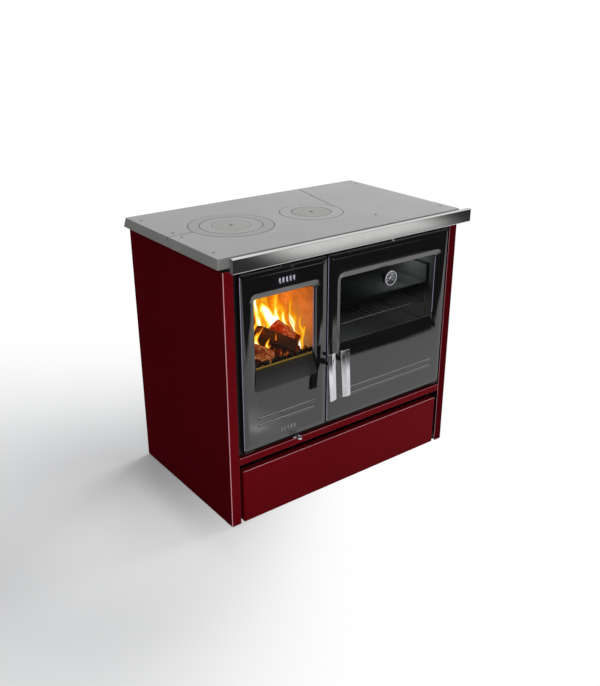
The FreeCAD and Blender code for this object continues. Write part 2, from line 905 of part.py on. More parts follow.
def make_fascia():
    """The black front sheet with one opening for the firebox and one for the oven."""
    body = doc.addObject("PartDesign::Body", "front_fascia")
    half = size.fascia_wide / 2
    pad(body, polygon(sketch_on(body, "XZ_Plane", -fascia_rear), [
        (-half, size.fascia_low), (half, size.fascia_low), (half, size.panel_high),
        (-half, size.panel_high)]), size.fascia_wall)
    for left, right in ((-size.firebox_opening_left, -size.firebox_opening_right),
                        (-size.oven_opening_left, size.oven_right)):
        pocket(body, rounded_box(sketch_on(body, "XZ_Plane", -fascia_face), left, right,
                                 size.opening_low, size.opening_high, size.opening_round),
               size.fascia_wall + size.overrun)
    damper_hole = circle(sketch_on(body, "XZ_Plane", -fascia_face), size.damper_x, size.damper_z,
                         size.damper_rod + size.damper_gap)
    pocket(body, damper_hole, size.fascia_wall + size.overrun)
    return part(body)


def make_trim_strip():
    """The coloured folded strip between the doors and the drawer."""
    half = size.trim_wide / 2
    low, high = size.fascia_low, size.fascia_low + size.trim_high
    front = panel_front
    return part(extruded("trim_strip", "YZ_Plane", [
        (fascia_face, low), (front, low), (front, high), (fascia_face, high),
        (fascia_face, high - size.trim_wall), (front + size.trim_wall, high - size.trim_wall),
        (front + size.trim_wall, low + size.trim_wall), (fascia_face, low + size.trim_wall),
    ], -half, size.trim_wide))


# Hob
def make_hob_frame():
    """The angle-steel frame under the hob, with one bar across below the expansion slit."""
    outer_x, front, back = size.fascia_wide / 2, -size.fascia_front, size.hob_frame_rear
    low = size.panel_high
    wall, wide = size.hob_frame_wall, size.hob_frame_wide
    solid = block("hob_frame_solid", (-outer_x, outer_x), (front, back), (low, hob_underside))
    under = block("hob_frame_under", (-outer_x + wall, outer_x - wall), (front + wall, back - wall),
                  (low - size.overrun, hob_underside - wall))
    through = block("hob_frame_through", (-outer_x + wide, outer_x - wide),
                    (front + wide, back - wide), (low - size.overrun, hob_underside + size.overrun))
    ring = cut("hob_frame_ring", solid, fuse("hob_frame_room", under, through))
    bar = block("hob_crossbar", (size.crossbar_x - wide / 2, size.crossbar_x + wide / 2),
                (front + wall, back - wall), (hob_underside - wall, hob_underside))
    screws = [rod(f"hob_frame_tap_{index}", size.hob_screw, size.hob_screw_long * 2, x, y,
                  hob_underside - size.hob_screw_long)
              for index, (x, y) in enumerate(hob_screw_places(), start=1)]
    return part(cut("hob_support_frame", fuse("hob_frame_bars", ring, bar), *screws))


def hob_screw_places():
    """Where the countersunk screws hold the hob plate to its frame."""
    places = []
    for end, edge in ((-1, -size.hob_front), (1, size.hob_rear)):
        places.append((-size.left_screw_x, end * size.left_screw_y))
        places.append((-size.right_screw_x, edge - end * size.corner_screw_end))
        places.append((size.right_screw_x, edge - end * size.corner_screw_end))
        places.append((size.crossbar_x, edge - end * size.cross_screw_end))
    return places


def make_hob_plate():
    """The cast hob: flared skirt, stepped seats for the rings and two expansion slits."""
    body = doc.addObject("PartDesign::Body", "hob_plate_casting")
    half_x, front, rear = size.hob_wide / 2, -size.hob_front, size.hob_rear
    flare = size.hob_flare
    top = rounded_box(sketch_on(body, "XY_Plane", size.hob_top), -half_x, half_x, front, rear,
                      size.hob_corner)
    foot = rounded_box(sketch_on(body, "XY_Plane", skirt_bottom), -half_x - flare, half_x + flare,
                       front - flare, rear + flare, size.hob_corner)
    loft(body, "Additive", foot, top)
    wall = size.hob_wall
    hollow = polygon(sketch_on(body, "XY_Plane", skirt_bottom), [
        (-half_x + wall, front + wall), (half_x - wall, front + wall),
        (half_x - wall, rear - wall), (-half_x + wall, rear - wall)])
    pocket(body, hollow, size.hob_skirt - size.hob_thick, forward=True)
    for x, y, radius in ((-size.big_hob_x, 0, size.big_outer_ring),
                         (size.small_hob_x, -size.small_hob_y, size.small_outer_ring)):
        seat = circle(sketch_on(body, "XY_Plane", size.hob_top), x, y, radius + size.ring_gap)
        pocket(body, seat, size.ring_lip)
        well = circle(sketch_on(body, "XY_Plane", size.hob_top), x, y, radius - size.ring_seat)
        pocket(body, well, size.hob_thick + size.overrun)
    half_slit = size.slit_wide / 2
    side_slit = polygon(sketch_on(body, "XY_Plane", size.hob_top), [
        (-half_x - flare, -half_slit), (-size.big_hob_x - size.big_outer_ring, -half_slit),
        (-size.big_hob_x - size.big_outer_ring, half_slit), (-half_x - flare, half_slit)])
    pocket(body, side_slit, size.hob_thick + size.overrun)
    ring_x = size.small_hob_x + size.small_outer_ring
    back_slit = polygon(sketch_on(body, "XY_Plane", size.hob_top), [
        (ring_x - half_slit, 0), (ring_x + half_slit, 0),
        (size.slit_rear_x + half_slit, rear + flare), (size.slit_rear_x - half_slit, rear + flare)])
    pocket(body, back_slit, size.hob_thick + size.overrun)
    holes = []
    for index, (x, y) in enumerate(hob_screw_places(), start=1):
        holes.append(rod(f"hob_hole_{index}", size.hob_screw, size.hob_thick + size.overrun * 2, x, y,
                         hob_underside - size.overrun))
        holes.append(cone(f"hob_sink_{index}", size.hob_screw, size.hob_screw_head,
                          size.hob_screw_head - size.hob_screw, x, y,
                          size.hob_top - size.hob_screw_head + size.hob_screw))
    return part(cut("hob_plate", body, *holes))


def make_hob_screws():
    """Countersunk socket screws, flush with the hob."""
    screws = []
    head_deep = size.hob_screw_head - size.hob_screw
    for index, (x, y) in enumerate(hob_screw_places(), start=1):
        head = cone(f"hob_screw_head_{index}", size.hob_screw, size.hob_screw_head, head_deep, x, y,
                    size.hob_top - head_deep)
        shank = rod(f"hob_screw_shank_{index}", size.hob_screw, size.hob_screw_long, x, y,
                    size.hob_top - size.hob_screw_long)
        socket = rod(f"hob_screw_socket_{index}", size.hob_screw_socket, head_deep + size.overrun,
                     x, y, size.hob_top - head_deep)
        screws.append(cut(f"hob_screw_{index}", fuse(f"hob_screw_solid_{index}", head, shank), socket))
    return part(group("hob_screws", *screws))


def make_ring(label, radius, inner, x, y):
    """A hob ring: its lip rests on the seat outside, and it carries a seat for the next inside."""
    top, lip = size.hob_top, size.hob_top - size.ring_lip
    step = radius - size.ring_seat - size.ring_gap
    return part(revolved(label, [
        (inner + size.ring_gap, top), (radius, top), (radius, lip), (step, lip),
        (step, hob_underside), (inner - size.ring_seat, hob_underside),
        (inner - size.ring_seat, lip), (inner + size.ring_gap, lip)], x, y))


def make_lid(label, radius, x, y):
    """The middle disc with its blind lifting hole."""
    top, lip = size.hob_top, size.hob_top - size.ring_lip
    step = radius - size.ring_seat - size.ring_gap
    floor = top - size.lift_bore_deep
    return part(revolved(label, [
        (size.lift_bore, top), (radius, top), (radius, lip), (step, lip), (step, hob_underside),
        (0, hob_underside), (0, floor), (size.lift_bore, floor)], x, y))


def make_rail(hob_plate):
    """The hollow front rail with closed ends and rounded edges, and its three spacers."""
    half = size.rail_wide / 2
    front, back = -size.rail_front, -size.rail_front + size.rail_thick
    low, high = size.rail_low, size.rail_low + size.rail_high
    wall = size.rail_wall
    bar = rounded("rail_bar", block("rail_solid", (-half, half), (front, back), (low, high)),
                  size.rail_round, runs_along(ALONG_X))
    hollow = block("rail_hollow", (-half + wall, half - wall), (front + wall, back - wall),
                   (low + wall, high - wall))
    rail = part(cut("towel_rail", bar, hollow))
    spacers = []
    for name, side in (("left", -1), ("middle", 0), ("right", 1)):
        bar = rod(f"rail_spacer_bar_{name}", size.bracket_radius,
                  size.rail_stand_off - size.rail_thick,
                  size.bracket_spread * side, back, size.bracket_z, "+Y")
        spacers.append(cut(f"rail_spacer_{name}", bar, hob_plate))
    part(group("rail_brackets", *spacers))
    return rail


# Firebox
firebox_left = -size.firebox_left
firebox_right = -size.firebox_right
firebox_inner_left = firebox_left + size.firebox_wall
firebox_inner_right = firebox_right - size.firebox_wall
firebox_floor_top = size.firebox_floor + size.firebox_wall
firebox_inner_back = size.firebox_rear - size.firebox_wall
ledge_top = size.grate_low
brick_left = firebox_inner_left + size.brick_thick
brick_right = firebox_inner_right - size.brick_thick


def make_firebox_shell():
    """The welded firebox: open front and top, raised floor, brick ledges and a flue window."""
    outer = block("firebox_outer", (firebox_left, firebox_right), (fascia_rear, size.firebox_rear),
                  (deck_top, size.panel_high))
    front = fascia_rear - size.overrun
    room = block("firebox_room", (firebox_inner_left, firebox_inner_right), (front, firebox_inner_back),
                 (firebox_floor_top, size.panel_high + size.overrun))
    below = block("firebox_below", (firebox_inner_left, firebox_inner_right),
                  (front, firebox_inner_back), (deck_top - size.overrun, size.firebox_floor))
    window = block("flue_window", (firebox_inner_right - size.overrun, firebox_right + size.overrun),
                   (-size.flue_window_front, size.flue_window_rear),
                   (size.flue_window_low, size.flue_window_high))
    shell = cut("firebox_walls", outer, room, below, window)
    ledge_low = ledge_top - size.ledge_thick
    left = block("firebox_ledge_left", (firebox_inner_left, firebox_inner_left + size.ledge_wide),
                 (fascia_rear, firebox_inner_back), (ledge_low, ledge_top))
    right = block("firebox_ledge_right", (firebox_inner_right - size.ledge_wide, firebox_inner_right),
                  (fascia_rear, firebox_inner_back), (ledge_low, ledge_top))
    rear = block("firebox_ledge_rear", (firebox_inner_left, firebox_inner_right),
                 (firebox_inner_back - size.ledge_wide, firebox_inner_back), (ledge_low, ledge_top))
    return part(fuse("firebox_shell", shell, left, right, rear))


def make_firebricks():
    """Moulded linings on both sides and at the back, each with its top edge cut slanting."""
    front = -size.brick_front
    low, high = ledge_top, ledge_top + size.brick_high
    slant = high - size.brick_chamfer
    length = firebox_inner_back - front
    left = extruded("firebrick_left_slab", "XZ_Plane", [
        (firebox_inner_left, low), (brick_left, low), (brick_left, slant),
        (brick_left - size.brick_chamfer, high), (firebox_inner_left, high)],
        -firebox_inner_back, length)
    right = extruded("firebrick_right_slab", "XZ_Plane", [
        (firebox_inner_right, low), (firebox_inner_right, high),
        (brick_right + size.brick_chamfer, high), (brick_right, slant), (brick_right, low)],
        -firebox_inner_back, length)
    part(group("firebrick_sides", left, right))
    rear_face_y = firebox_inner_back - size.brick_thick
    joint = size.brick_joint
    part(extruded("firebrick_rear", "YZ_Plane", [
        (firebox_inner_back, low), (firebox_inner_back, high),
        (rear_face_y + size.brick_chamfer, high), (rear_face_y, slant), (rear_face_y, low)],
        brick_left + joint, brick_right - brick_left - joint * 2))


def make_grate():
    """The cast grate with long air slots, laid between the linings."""
    left, right = brick_left + size.grate_gap, brick_right - size.grate_gap
    front, back = -size.brick_front, firebox_inner_back - size.brick_thick - size.grate_gap
    low, high = size.grate_low, size.grate_low + size.grate_thick
    plate = block("grate_plate", (left, right), (front, back), (low, high))
    slots = []
    middle = (left + right) / 2
    half_slot = size.grate_slot / 2
    for index, step in enumerate(spread(GRATE_SLOT_COUNT), start=1):
        x = middle + size.grate_pitch * step
        slots.append(block(f"grate_slot_{index}", (x - half_slot, x + half_slot),
                           (front + size.grate_rim * 2, back - size.grate_rim),
                           (low - size.overrun, high + size.overrun)))
    part(cut("fire_grate", plate, *slots))
    guard = block("guard_plate", (left, right), (front, front + size.guard_thick),
                  (high, high + size.guard_high))
    gaps = []
    for index, step in enumerate(spread(GUARD_GAP_COUNT), start=1):
        x = middle + size.guard_pitch * step
        gaps.append(block(f"guard_gap_{index}", (x - half_slot, x + half_slot),
                          (front - size.overrun, front + size.guard_thick + size.overrun),
                          (high + size.guard_slot, high + size.guard_high + size.overrun)))
    part(cut("log_guard", guard, *gaps))


def make_ash_pan():
    """The ash pan on the firebox floor, with a bent wire grip at its front."""
    left = -size.firebox_opening_left + size.ash_pan_gap
    right = -size.firebox_opening_right - size.ash_pan_gap
    front, back = -size.brick_front, firebox_inner_back - size.ledge_wide
    low, high = firebox_floor_top, firebox_floor_top + size.ash_pan_high
    low = low + size.ash_pan_gap
    wall = size.ash_pan_wall
    outer = block("ash_pan_outer", (left, right), (front, back), (low, high))
    room = block("ash_pan_room", (left + wall, right - wall), (front + wall, back - wall),
                 (low + wall, high + size.overrun))
    runner_left = block("ash_pan_foot_left", (left, left + size.ledge_wide), (front, back),
                        (firebox_floor_top, low))
    runner_right = block("ash_pan_foot_right", (right - size.ledge_wide, right), (front, back),
                         (firebox_floor_top, low))
    middle = (left + right) / 2
    half_grip = size.ash_grip_long / 2
    grip_y = front - size.ash_grip_radius / 2
    grip_z = (low + high) / 2
    grip = rod("ash_pan_grip", size.ash_grip_radius, size.ash_grip_long, middle - half_grip, grip_y,
               grip_z, "+X")
    return part(fuse("ash_pan", cut("ash_pan_box", outer, room), runner_left, runner_right, grip))


# Oven
oven_left = -size.oven_opening_left


def make_oven_box():
    """The oven liner, open at the front, with a fold that meets the front sheet."""
    wall = size.oven_wall
    outer = block("oven_outer", (oven_left - wall, size.oven_right + wall),
                  (fascia_rear, size.oven_rear + wall), (size.oven_low - wall, size.oven_high + wall))
    flange = size.oven_flange
    fold = block("oven_fold", (oven_left - flange, size.oven_right + flange),
                 (fascia_rear, fascia_rear + wall),
                 (size.oven_low - flange, size.oven_high + flange))
    room = block("oven_room", (oven_left, size.oven_right), (fascia_rear - size.overrun, size.oven_rear),
                 (size.oven_low, size.oven_high))
    return part(cut("oven_box", fuse("oven_skin", outer, fold), room))


def make_oven_racks():
    """Bent-rod ladders on both oven walls that carry the shelf and the tray."""
    racks = []
    radius = size.rack_rod
    top = size.rack_low + size.rack_pitch * (RACK_RUNG_COUNT - 1)
    for name, side, wall_x in (("left", -1, oven_left), ("right", 1, size.oven_right)):
        x = wall_x - side * radius
        bars = []
        for end, y in enumerate((-size.rack_front, size.rack_rear), start=1):
            bars.append(rod(f"rack_post_{name}_{end}", radius, top - size.rack_low, x, y, size.rack_low))
        for rung in range(RACK_RUNG_COUNT):
            bars.append(rod(f"rack_rung_{name}_{rung}", radius, size.rack_front + size.rack_rear,
                            x - side * radius, -size.rack_front, size.rack_low + size.rack_pitch * rung,
                            "+Y"))
        racks.append(fuse(f"rack_{name}", *bars))
    return part(group("oven_side_racks", *racks))


def make_oven_shelf():
    """The wire shelf on the lower rungs: a round frame with rods from front to back."""
    radius = size.shelf_rod
    z = size.rack_low + size.rack_pitch + size.rack_rod + radius
    left = oven_left + size.rack_rod + size.shelf_gap
    right = size.oven_right - size.rack_rod - size.shelf_gap
    front, back = -size.rack_front, size.rack_rear
    bars = []
    for name, y in (("front", front), ("back", back)):
        bars.append(rod(f"shelf_{name}", radius, right - left, left, y, z, "+X"))
    middle = (left + right) / 2
    wire_count = int((right - left).value // size.shelf_pitch.value) + 1
    for index, step in enumerate(spread(wire_count), start=1):
        bars.append(rod(f"shelf_wire_{index}", size.shelf_wire, back - front,
                        middle + size.shelf_pitch * step, front, z, "+Y"))
    return part(fuse("oven_shelf", *bars))


def make_baking_tray():
    """A pressed tray with slanting sides and a rim that slides on the upper rungs."""
    body = doc.addObject("PartDesign::Body", "baking_tray")
    rim_z = size.rack_low + size.rack_pitch * 2 + size.rack_rod
    rim = size.baking_tray_rim
    wall = size.baking_tray_wall
    left, right = oven_left + size.rack_rod + size.shelf_gap, \
        size.oven_right - size.rack_rod - size.shelf_gap
    front, back = -size.rack_front, size.rack_rear
    pad(body, polygon(sketch_on(body, "XY_Plane", rim_z), [
        (left, front), (right, front), (right, back), (left, back)]), wall)
    draft = size.baking_tray_draft

    def rectangle(z, inset):
        """One section of the tray at a height, drawn in from its rim."""
        return polygon(sketch_on(body, "XY_Plane", z), [
            (left + inset, front + inset), (right - inset, front + inset),
            (right - inset, back - inset), (left + inset, back - inset)])

    loft(body, "Additive", rectangle(rim_z + wall, rim),
         rectangle(rim_z - size.baking_tray_high, rim + draft))
    loft(body, "Subtractive", rectangle(rim_z + wall, rim + wall),
         rectangle(rim_z - size.baking_tray_high + wall, rim + draft + wall))
    return part(body)


# Smoke way
def make_flue_chamber():
    """The sheet jacket round the oven that leads the smoke: floor, right side and back."""
    wall = size.chamber_wall
    left = firebox_right
    outer = block("chamber_outer", (left, size.chamber_right), (fascia_rear, size.chamber_rear),
                  (deck_top, size.panel_high))
    front = fascia_rear - size.overrun
    room = block("chamber_room", (left - size.overrun, size.chamber_right - wall),
                 (front, size.chamber_rear - wall),
                 (size.chamber_low + wall, size.panel_high + size.overrun))
    below = block("chamber_below", (left - size.overrun, size.chamber_right - wall),
                  (front, size.chamber_rear - wall), (deck_top - size.overrun, size.chamber_low))
    hole = rod("chamber_hole", size.collar_bore + wall, wall + size.overrun * 2, size.duct_x,
               size.chamber_rear - wall - size.overrun, size.collar_z, "+Y")
    return part(cut("flue_chamber", outer, room, below, hole))


def make_flue_baffle():
    """The upright plate under the oven that sends the smoke round the back and carries the oven."""
    half = size.baffle_wall / 2
    return part(block("flue_baffle", (size.baffle_x - half, size.baffle_x + half),
                      (fascia_rear + size.oven_wall, size.baffle_rear),
                      (size.chamber_low + size.chamber_wall, size.oven_low - size.oven_wall)))


duct_front = size.oven_rear + size.oven_wall
duct_back = size.chamber_rear - size.chamber_wall
duct_left = size.duct_x - size.duct_half_wide
duct_right = size.duct_x + size.duct_half_wide


def duct_port():
    """The port in the duct's roof that the draught plate covers."""
    middle = (duct_front + duct_back) / 2
    return middle - size.duct_port_deep / 2, middle + size.duct_port_deep / 2


def make_rear_duct():
    """The upright duct behind the oven, open below, with a port in its roof."""
    wall = size.duct_wall
    low = size.chamber_low + size.chamber_wall
    outer = block("duct_outer", (duct_left, duct_right), (duct_front, duct_back), (low, size.duct_top))
    room = block("duct_room", (duct_left + wall, duct_right - wall),
                 (duct_front + wall, duct_back + size.overrun), (low, size.duct_top - wall))
    mouth = block("duct_mouth", (duct_left + wall, duct_right - wall),
                  (duct_front - size.overrun, duct_back), (low, size.oven_low - size.oven_wall))
    half_port = size.duct_port_wide / 2
    port_front, port_back = duct_port()
    port = block("duct_port", (size.damper_x - half_port, size.damper_x + half_port),
                 (port_front, port_back), (size.duct_top - wall - size.overrun,
                                           size.duct_top + size.overrun))
    return part(cut("rear_duct", outer, room, mouth, port))


def make_flue_collar():
    """The round spigot for the stove pipe, with its bolting flange inside the back sheet."""
    outer = size.collar_bore + size.collar_wall
    flange = rod("collar_plate", size.collar_flange, size.collar_flange_thick, size.duct_x,
                 duct_back + size.chamber_wall, size.collar_z, "+Y")
    tube = rod("collar_tube", outer, size.collar_end - duct_back - size.chamber_wall, size.duct_x,
               duct_back + size.chamber_wall, size.collar_z, "+Y")
    bore = rod("collar_hole", size.collar_bore, size.collar_end, size.duct_x, 0, size.collar_z, "+Y")
    return part(cut("flue_collar", fuse("collar_solid", flange, tube), bore))


def make_damper():
    """The draught rod over the oven with its spoon grip, and the plate on the duct's port."""
    port_front, port_back = duct_port()
    plate_low = size.duct_top + size.damper_gap
    half = size.damper_plate_wide / 2
    plate_front = (port_front + port_back - size.damper_plate_deep) / 2
    plate = block("damper_plate", (size.damper_x - half, size.damper_x + half),
                  (plate_front, plate_front + size.damper_plate_deep),
                  (plate_low, plate_low + size.damper_plate_thick))
    bar = rod("damper_bar", size.damper_rod, plate_front + size.damper_plate_deep + size.damper_front,
              size.damper_x, -size.damper_front, size.damper_z, "+Y")
    half_lug = size.damper_lug / 2
    lug = block("damper_lug", (size.damper_x - half_lug, size.damper_x + half_lug),
                (plate_front, plate_front + size.damper_plate_deep), (plate_low, size.damper_z))
    grip = spoon("damper_grip", size.damper_x, -size.damper_front, size.damper_z)
    return part(fuse("draught_damper", plate, bar, lug, grip))


def spoon(label, x, y, z):
    """The flattened chrome grip at the end of a lever."""
    grip = doc.addObject("Part::Ellipsoid", label)
    bind(grip, "Radius1", size.spoon_thick)
    bind(grip, "Radius2", size.spoon_wide)
    bind(grip, "Radius3", size.spoon_long)
    place(grip, x, y, z)
    return grip


# Doors
def door_parts(label, left, right, recess_left, recess_right):
    """The pressed door with bevelled rim, sloped window recess, ribs, rebates and hinge holes."""
    body = doc.addObject("PartDesign::Body", label)
    low, high = size.door_low, size.door_high
    rim, face = size.door_rim, size.door_rim + size.door_crown

    def section(away, inset, radius):
        """One section of the door at a depth, drawn in from its rim."""
        return rounded_box(sketch_on(body, "XZ_Plane", away), left + inset, right - inset,
                           low + inset, high - inset, radius)

    pad(body, section(0, 0, size.door_round), rim)
    loft(body, "Additive", section(rim, 0, size.door_round),
         section(face, size.door_bevel, size.door_round))
    inset = size.glass_inset
    mouth = rounded_box(sketch_on(body, "XZ_Plane", face), recess_left, recess_right,
                        size.recess_low, size.recess_high, size.recess_round)
    bottom = rounded_box(sketch_on(body, "XZ_Plane", size.recess_bottom), recess_left + inset,
                         recess_right - inset, size.glass_low, size.glass_high, size.glass_round)
    loft(body, "Subtractive", mouth, bottom)
    sight = rounded_box(sketch_on(body, "XZ_Plane", size.recess_bottom), recess_left + inset,
                        recess_right - inset, size.glass_low, size.glass_high, size.glass_round)
    pocket(body, sight, size.recess_bottom + size.overrun)
    lap = inset - size.glass_lap
    rebate = rounded_box(sketch_on(body, "XZ_Plane", 0), recess_left + lap, recess_right - lap,
                         size.glass_low - size.glass_lap, size.glass_high + size.glass_lap,
                         size.glass_round)
    pocket(body, rebate, size.glass_seat, forward=True)
    margin = size.cavity_margin
    cavity = rounded_box(sketch_on(body, "XZ_Plane", 0), left + margin, right - margin,
                         size.cavity_low, size.cavity_high, size.door_round)
    pocket(body, cavity, rim - size.door_skin, forward=True)
    for z in (size.rib_low_z, size.rib_high_z):
        rib_left, rib_right = left + size.rib_margin, right - size.rib_margin
        half, crest = size.rib_wide / 2, size.rib_crest / 2
        slope = half - crest
        foot = rounded_box(sketch_on(body, "XZ_Plane", face), rib_left, rib_right, z - half, z + half,
                           half - crest / 2)
        ridge = rounded_box(sketch_on(body, "XZ_Plane", face + size.rib_high), rib_left + slope,
                            rib_right - slope, z - crest, z + crest, crest / 2)
        loft(body, "Additive", foot, ridge)
    return body


def hinge_x(side):
    """The hinge axis of the left door, or of the right one."""
    if side < 0:
        return -(half_carcass - size.front_flange - size.firebox_door_margin) + size.hinge_inset
    return half_carcass - size.front_flange - size.oven_door_margin - size.hinge_inset


def hinge_holes(label, side):
    """Blind holes for the hinge pins in the door's lower and upper edge."""
    radius = size.hinge_pin + size.hinge_pin_gap
    deep = size.hinge_pin_long + size.hinge_pin_gap
    low = rod(f"{label}_pin_hole_low", radius, deep + size.overrun, hinge_x(side), -size.hinge_depth,
              size.door_low - size.overrun)
    high = rod(f"{label}_pin_hole_high", radius, deep + size.overrun, hinge_x(side),
               -size.hinge_depth, size.door_high - deep)
    return low, high


def air_slots(label, middle, z):
    """Upright slots with round ends, side by side about a middle."""
    cuts = []
    half = size.slot_wide / 2
    straight = size.slot_high / 2 - half
    reach = size.door_rim + size.door_crown + size.overrun * 2
    y = door_rear + size.overrun
    for index, step in enumerate(spread(AIR_SLOT_COUNT), start=1):
        x = middle + size.slot_pitch * step
        box = block(f"{label}_slot_{index}", (x - half, x + half), (y - reach, y),
                    (z - straight, z + straight))
        top = rod(f"{label}_slot_top_{index}", half, reach, x, y, z + straight, "-Y")
        base = rod(f"{label}_slot_base_{index}", half, reach, x, y, z - straight, "-Y")
        cuts += [box, top, base]
    return cuts


channel_face = door_rear - size.slide_channel


def slide_channel(label, z, lever_x, edge_z):
    """The shallow way in the door's back for an air slide and its lever."""
    room = size.slide_gap + size.slide_travel
    half_long, half_high = size.slide_long / 2 + room, size.slide_high / 2 + size.slide_gap
    y = (channel_face, door_rear + size.overrun)
    wide = block(f"{label}_channel", (-size.slot_x - half_long, -size.slot_x + half_long), y,
                 (z - half_high, z + half_high))
    half_lever = size.lever_wide / 2 + room
    z_span = (edge_z - size.overrun, z) if edge_z.value < z.value else (z, edge_z + size.overrun)
    way = block(f"{label}_lever_way", (lever_x - half_lever, lever_x + half_lever), y, z_span)
    return wide, way


def make_firebox_door():
    """The firebox door with its two rows of air slots and the channels for the slides."""
    body = door_parts("firebox_door_pressing", firebox_door_left, firebox_door_right, *firebox_recess)
    tools = list(hinge_holes("firebox_door", -1))
    tools += air_slots("low_air", -size.slot_x, size.low_slot_z)
    tools += air_slots("high_air", -size.slot_x, size.high_slot_z)
    tools += slide_channel("low_air", size.low_slot_z, -size.low_lever_x, size.door_low)
    tools += slide_channel("high_air", size.high_slot_z, -size.slot_x, size.door_high)
    tools.append(rod("firebox_spindle_hole", size.spindle + size.spindle_gap,
                     size.door_rim + size.door_crown + size.overrun * 2, -size.firebox_handle_x,
                     door_rear + size.overrun, size.spindle_z, "-Y"))
    return part(cut("firebox_door", place_door(body), *tools))


def place_door(body):
    """Set a door's back plane where the door hangs."""
    place(body, 0, door_rear, 0)
    return body


def make_oven_door():
    """The oven door, with no air slots."""
    body = door_parts("oven_door_pressing", oven_door_left, oven_door_right, *oven_recess)
    tools = list(hinge_holes("oven_door", 1))
    tools.append(rod("oven_spindle_hole", size.spindle + size.spindle_gap,
                     size.door_rim + size.door_crown + size.overrun * 2, -size.oven_handle_x,
                     door_rear + size.overrun, size.spindle_z, "-Y"))
    return part(cut("oven_door", place_door(body), *tools))


def make_glass(label, recess):
    """A ceramic pane in the door's rebate."""
    body = doc.addObject("PartDesign::Body", label)
    lap = size.glass_inset - size.glass_lap + size.glass_gap
    pane = rounded_box(sketch_on(body, "XZ_Plane", 0), recess[0] + lap, recess[1] - lap,
                       size.glass_low - size.glass_lap + size.glass_gap,
                       size.glass_high + size.glass_lap - size.glass_gap, size.glass_round)
    pad(body, pane, size.glass_thick)
    place(body, 0, door_rear - size.glass_seat + size.glass_thick, 0)
    return body


def make_clips(label, recess):
    """Four bent clips at the pane's corners, screwed to the door's back."""
    clips = []
    lap = size.glass_inset - size.glass_lap
    left, right = recess[0] + lap, recess[1] - lap
    low, high = size.glass_low - size.glass_lap, size.glass_high + size.glass_lap
    glass_back = door_rear - size.glass_seat + size.glass_thick
    for index, (z, up) in enumerate(((low, -1), (low, -1), (high, 1), (high, 1))):
        x = left + size.clip_long * 2 if index % 2 == 0 else right - size.clip_long * 2
        reach = (z - up * size.glass_lap, z + up * size.clip_long)
        tongue = (min(reach, key=lambda end: end.value), max(reach, key=lambda end: end.value))
        foot_low, foot_high = (tongue[0], z) if up < 0 else (z, tongue[1])
        plate = block(f"{label}_plate_{index}", (x, x + size.clip_wide),
                      (door_rear, door_rear + size.clip_thick), tongue)
        tooth_span = (z, tongue[1]) if up < 0 else (tongue[0], z)
        tooth = block(f"{label}_tooth_{index}", (x, x + size.clip_wide), (glass_back, door_rear),
                      (tooth_span[0] + size.glass_gap * 2, tooth_span[1]) if up < 0 else
                      (tooth_span[0], tooth_span[1] - size.glass_gap * 2))
        head = rod(f"{label}_screw_{index}", size.sheet_screw, size.liner_bolt_head,
                   x + size.clip_wide / 2, door_rear + size.clip_thick, (foot_low + foot_high) / 2, "+Y")
        clips.append(fuse(f"{label}_{index}", plate, tooth, head))
    return part(group(label, *clips))


def make_seal(label, left, right):
    """The flat glass-fibre rope round an opening, fixed to the door's back."""
    body = doc.addObject("PartDesign::Body", label)
    lap, wide = size.seal_lap, size.seal_wide
    outer = lap + wide
    pad(body, rounded_box(sketch_on(body, "XZ_Plane", 0), left - outer, right + outer,
                          size.opening_low - outer, size.opening_high + outer,
                          size.seal_round + wide), size.seal_thick)
    pocket(body, rounded_box(sketch_on(body, "XZ_Plane", 0), left - lap, right + lap,
                             size.opening_low - lap, size.opening_high + lap, size.seal_round),
           size.seal_thick + size.overrun, forward=True)
    place(body, 0, door_rear + size.seal_thick, 0)
    return part(body)


def make_liner(label, left, right):
    """The heat shield over the hollow of a door's back, with its bolt heads."""
    gap = size.liner_gap
    low, high = size.cavity_low - gap, size.cavity_high + gap
    plate = block(f"{label}_sheet", (left + gap, right - gap), (door_rear, door_rear + size.liner_wall),
                  (low, high))
    heads = []
    inset = size.liner_bolt * 2 + gap
    for index, (x, z) in enumerate(((left + inset, low + inset), (right - inset, low + inset),
                                    (left + inset, high - inset), (right - inset, high - inset))):
        heads.append(rod(f"{label}_bolt_{index}", size.liner_bolt, size.liner_bolt_head, x,
                         door_rear + size.liner_wall, z, "+Y"))
    return part(fuse(label, plate, *heads))


def make_slide(label, z, lever_x, edge_z, up):
    """A slotted air slide, shut at rest, its lever bent forward round the door's edge to a spoon."""
    half_long, half_high = size.slide_long / 2, size.slide_high / 2
    back = channel_face + size.slide_gap + size.slide_thick
    front = channel_face + size.slide_gap
    plate = block(f"{label}_plate", (-size.slot_x - half_long, -size.slot_x + half_long),
                  (front, back), (z - half_high, z + half_high))
    half_lever = size.lever_wide / 2
    x = (lever_x - half_lever, lever_x + half_lever)
    bend_near = edge_z + up * size.lever_gap
    bend_far = bend_near + up * size.slide_thick
    drop = (bend_far, z) if up < 0 else (z, bend_far)
    stem = block(f"{label}_drop", x, (front, back), drop)
    reach = (bend_far, bend_near) if up < 0 else (bend_near, bend_far)
    tongue = block(f"{label}_tongue", x, (-size.lever_front, back), reach)
    middle = (bend_near + bend_far) / 2
    neck = rod(f"{label}_neck", size.slide_thick / 2, size.spoon_long * 2, lever_x,
               -size.lever_front, middle, "-Y")
    grip = spoon(f"{label}_grip", lever_x, -size.lever_front - size.spoon_long, middle)
    solid = fuse(f"{label}_solid", plate, stem, tongue, neck, grip)
    return part(cut(label, solid, *air_slots(label, -size.slot_x - size.slide_travel, z)))


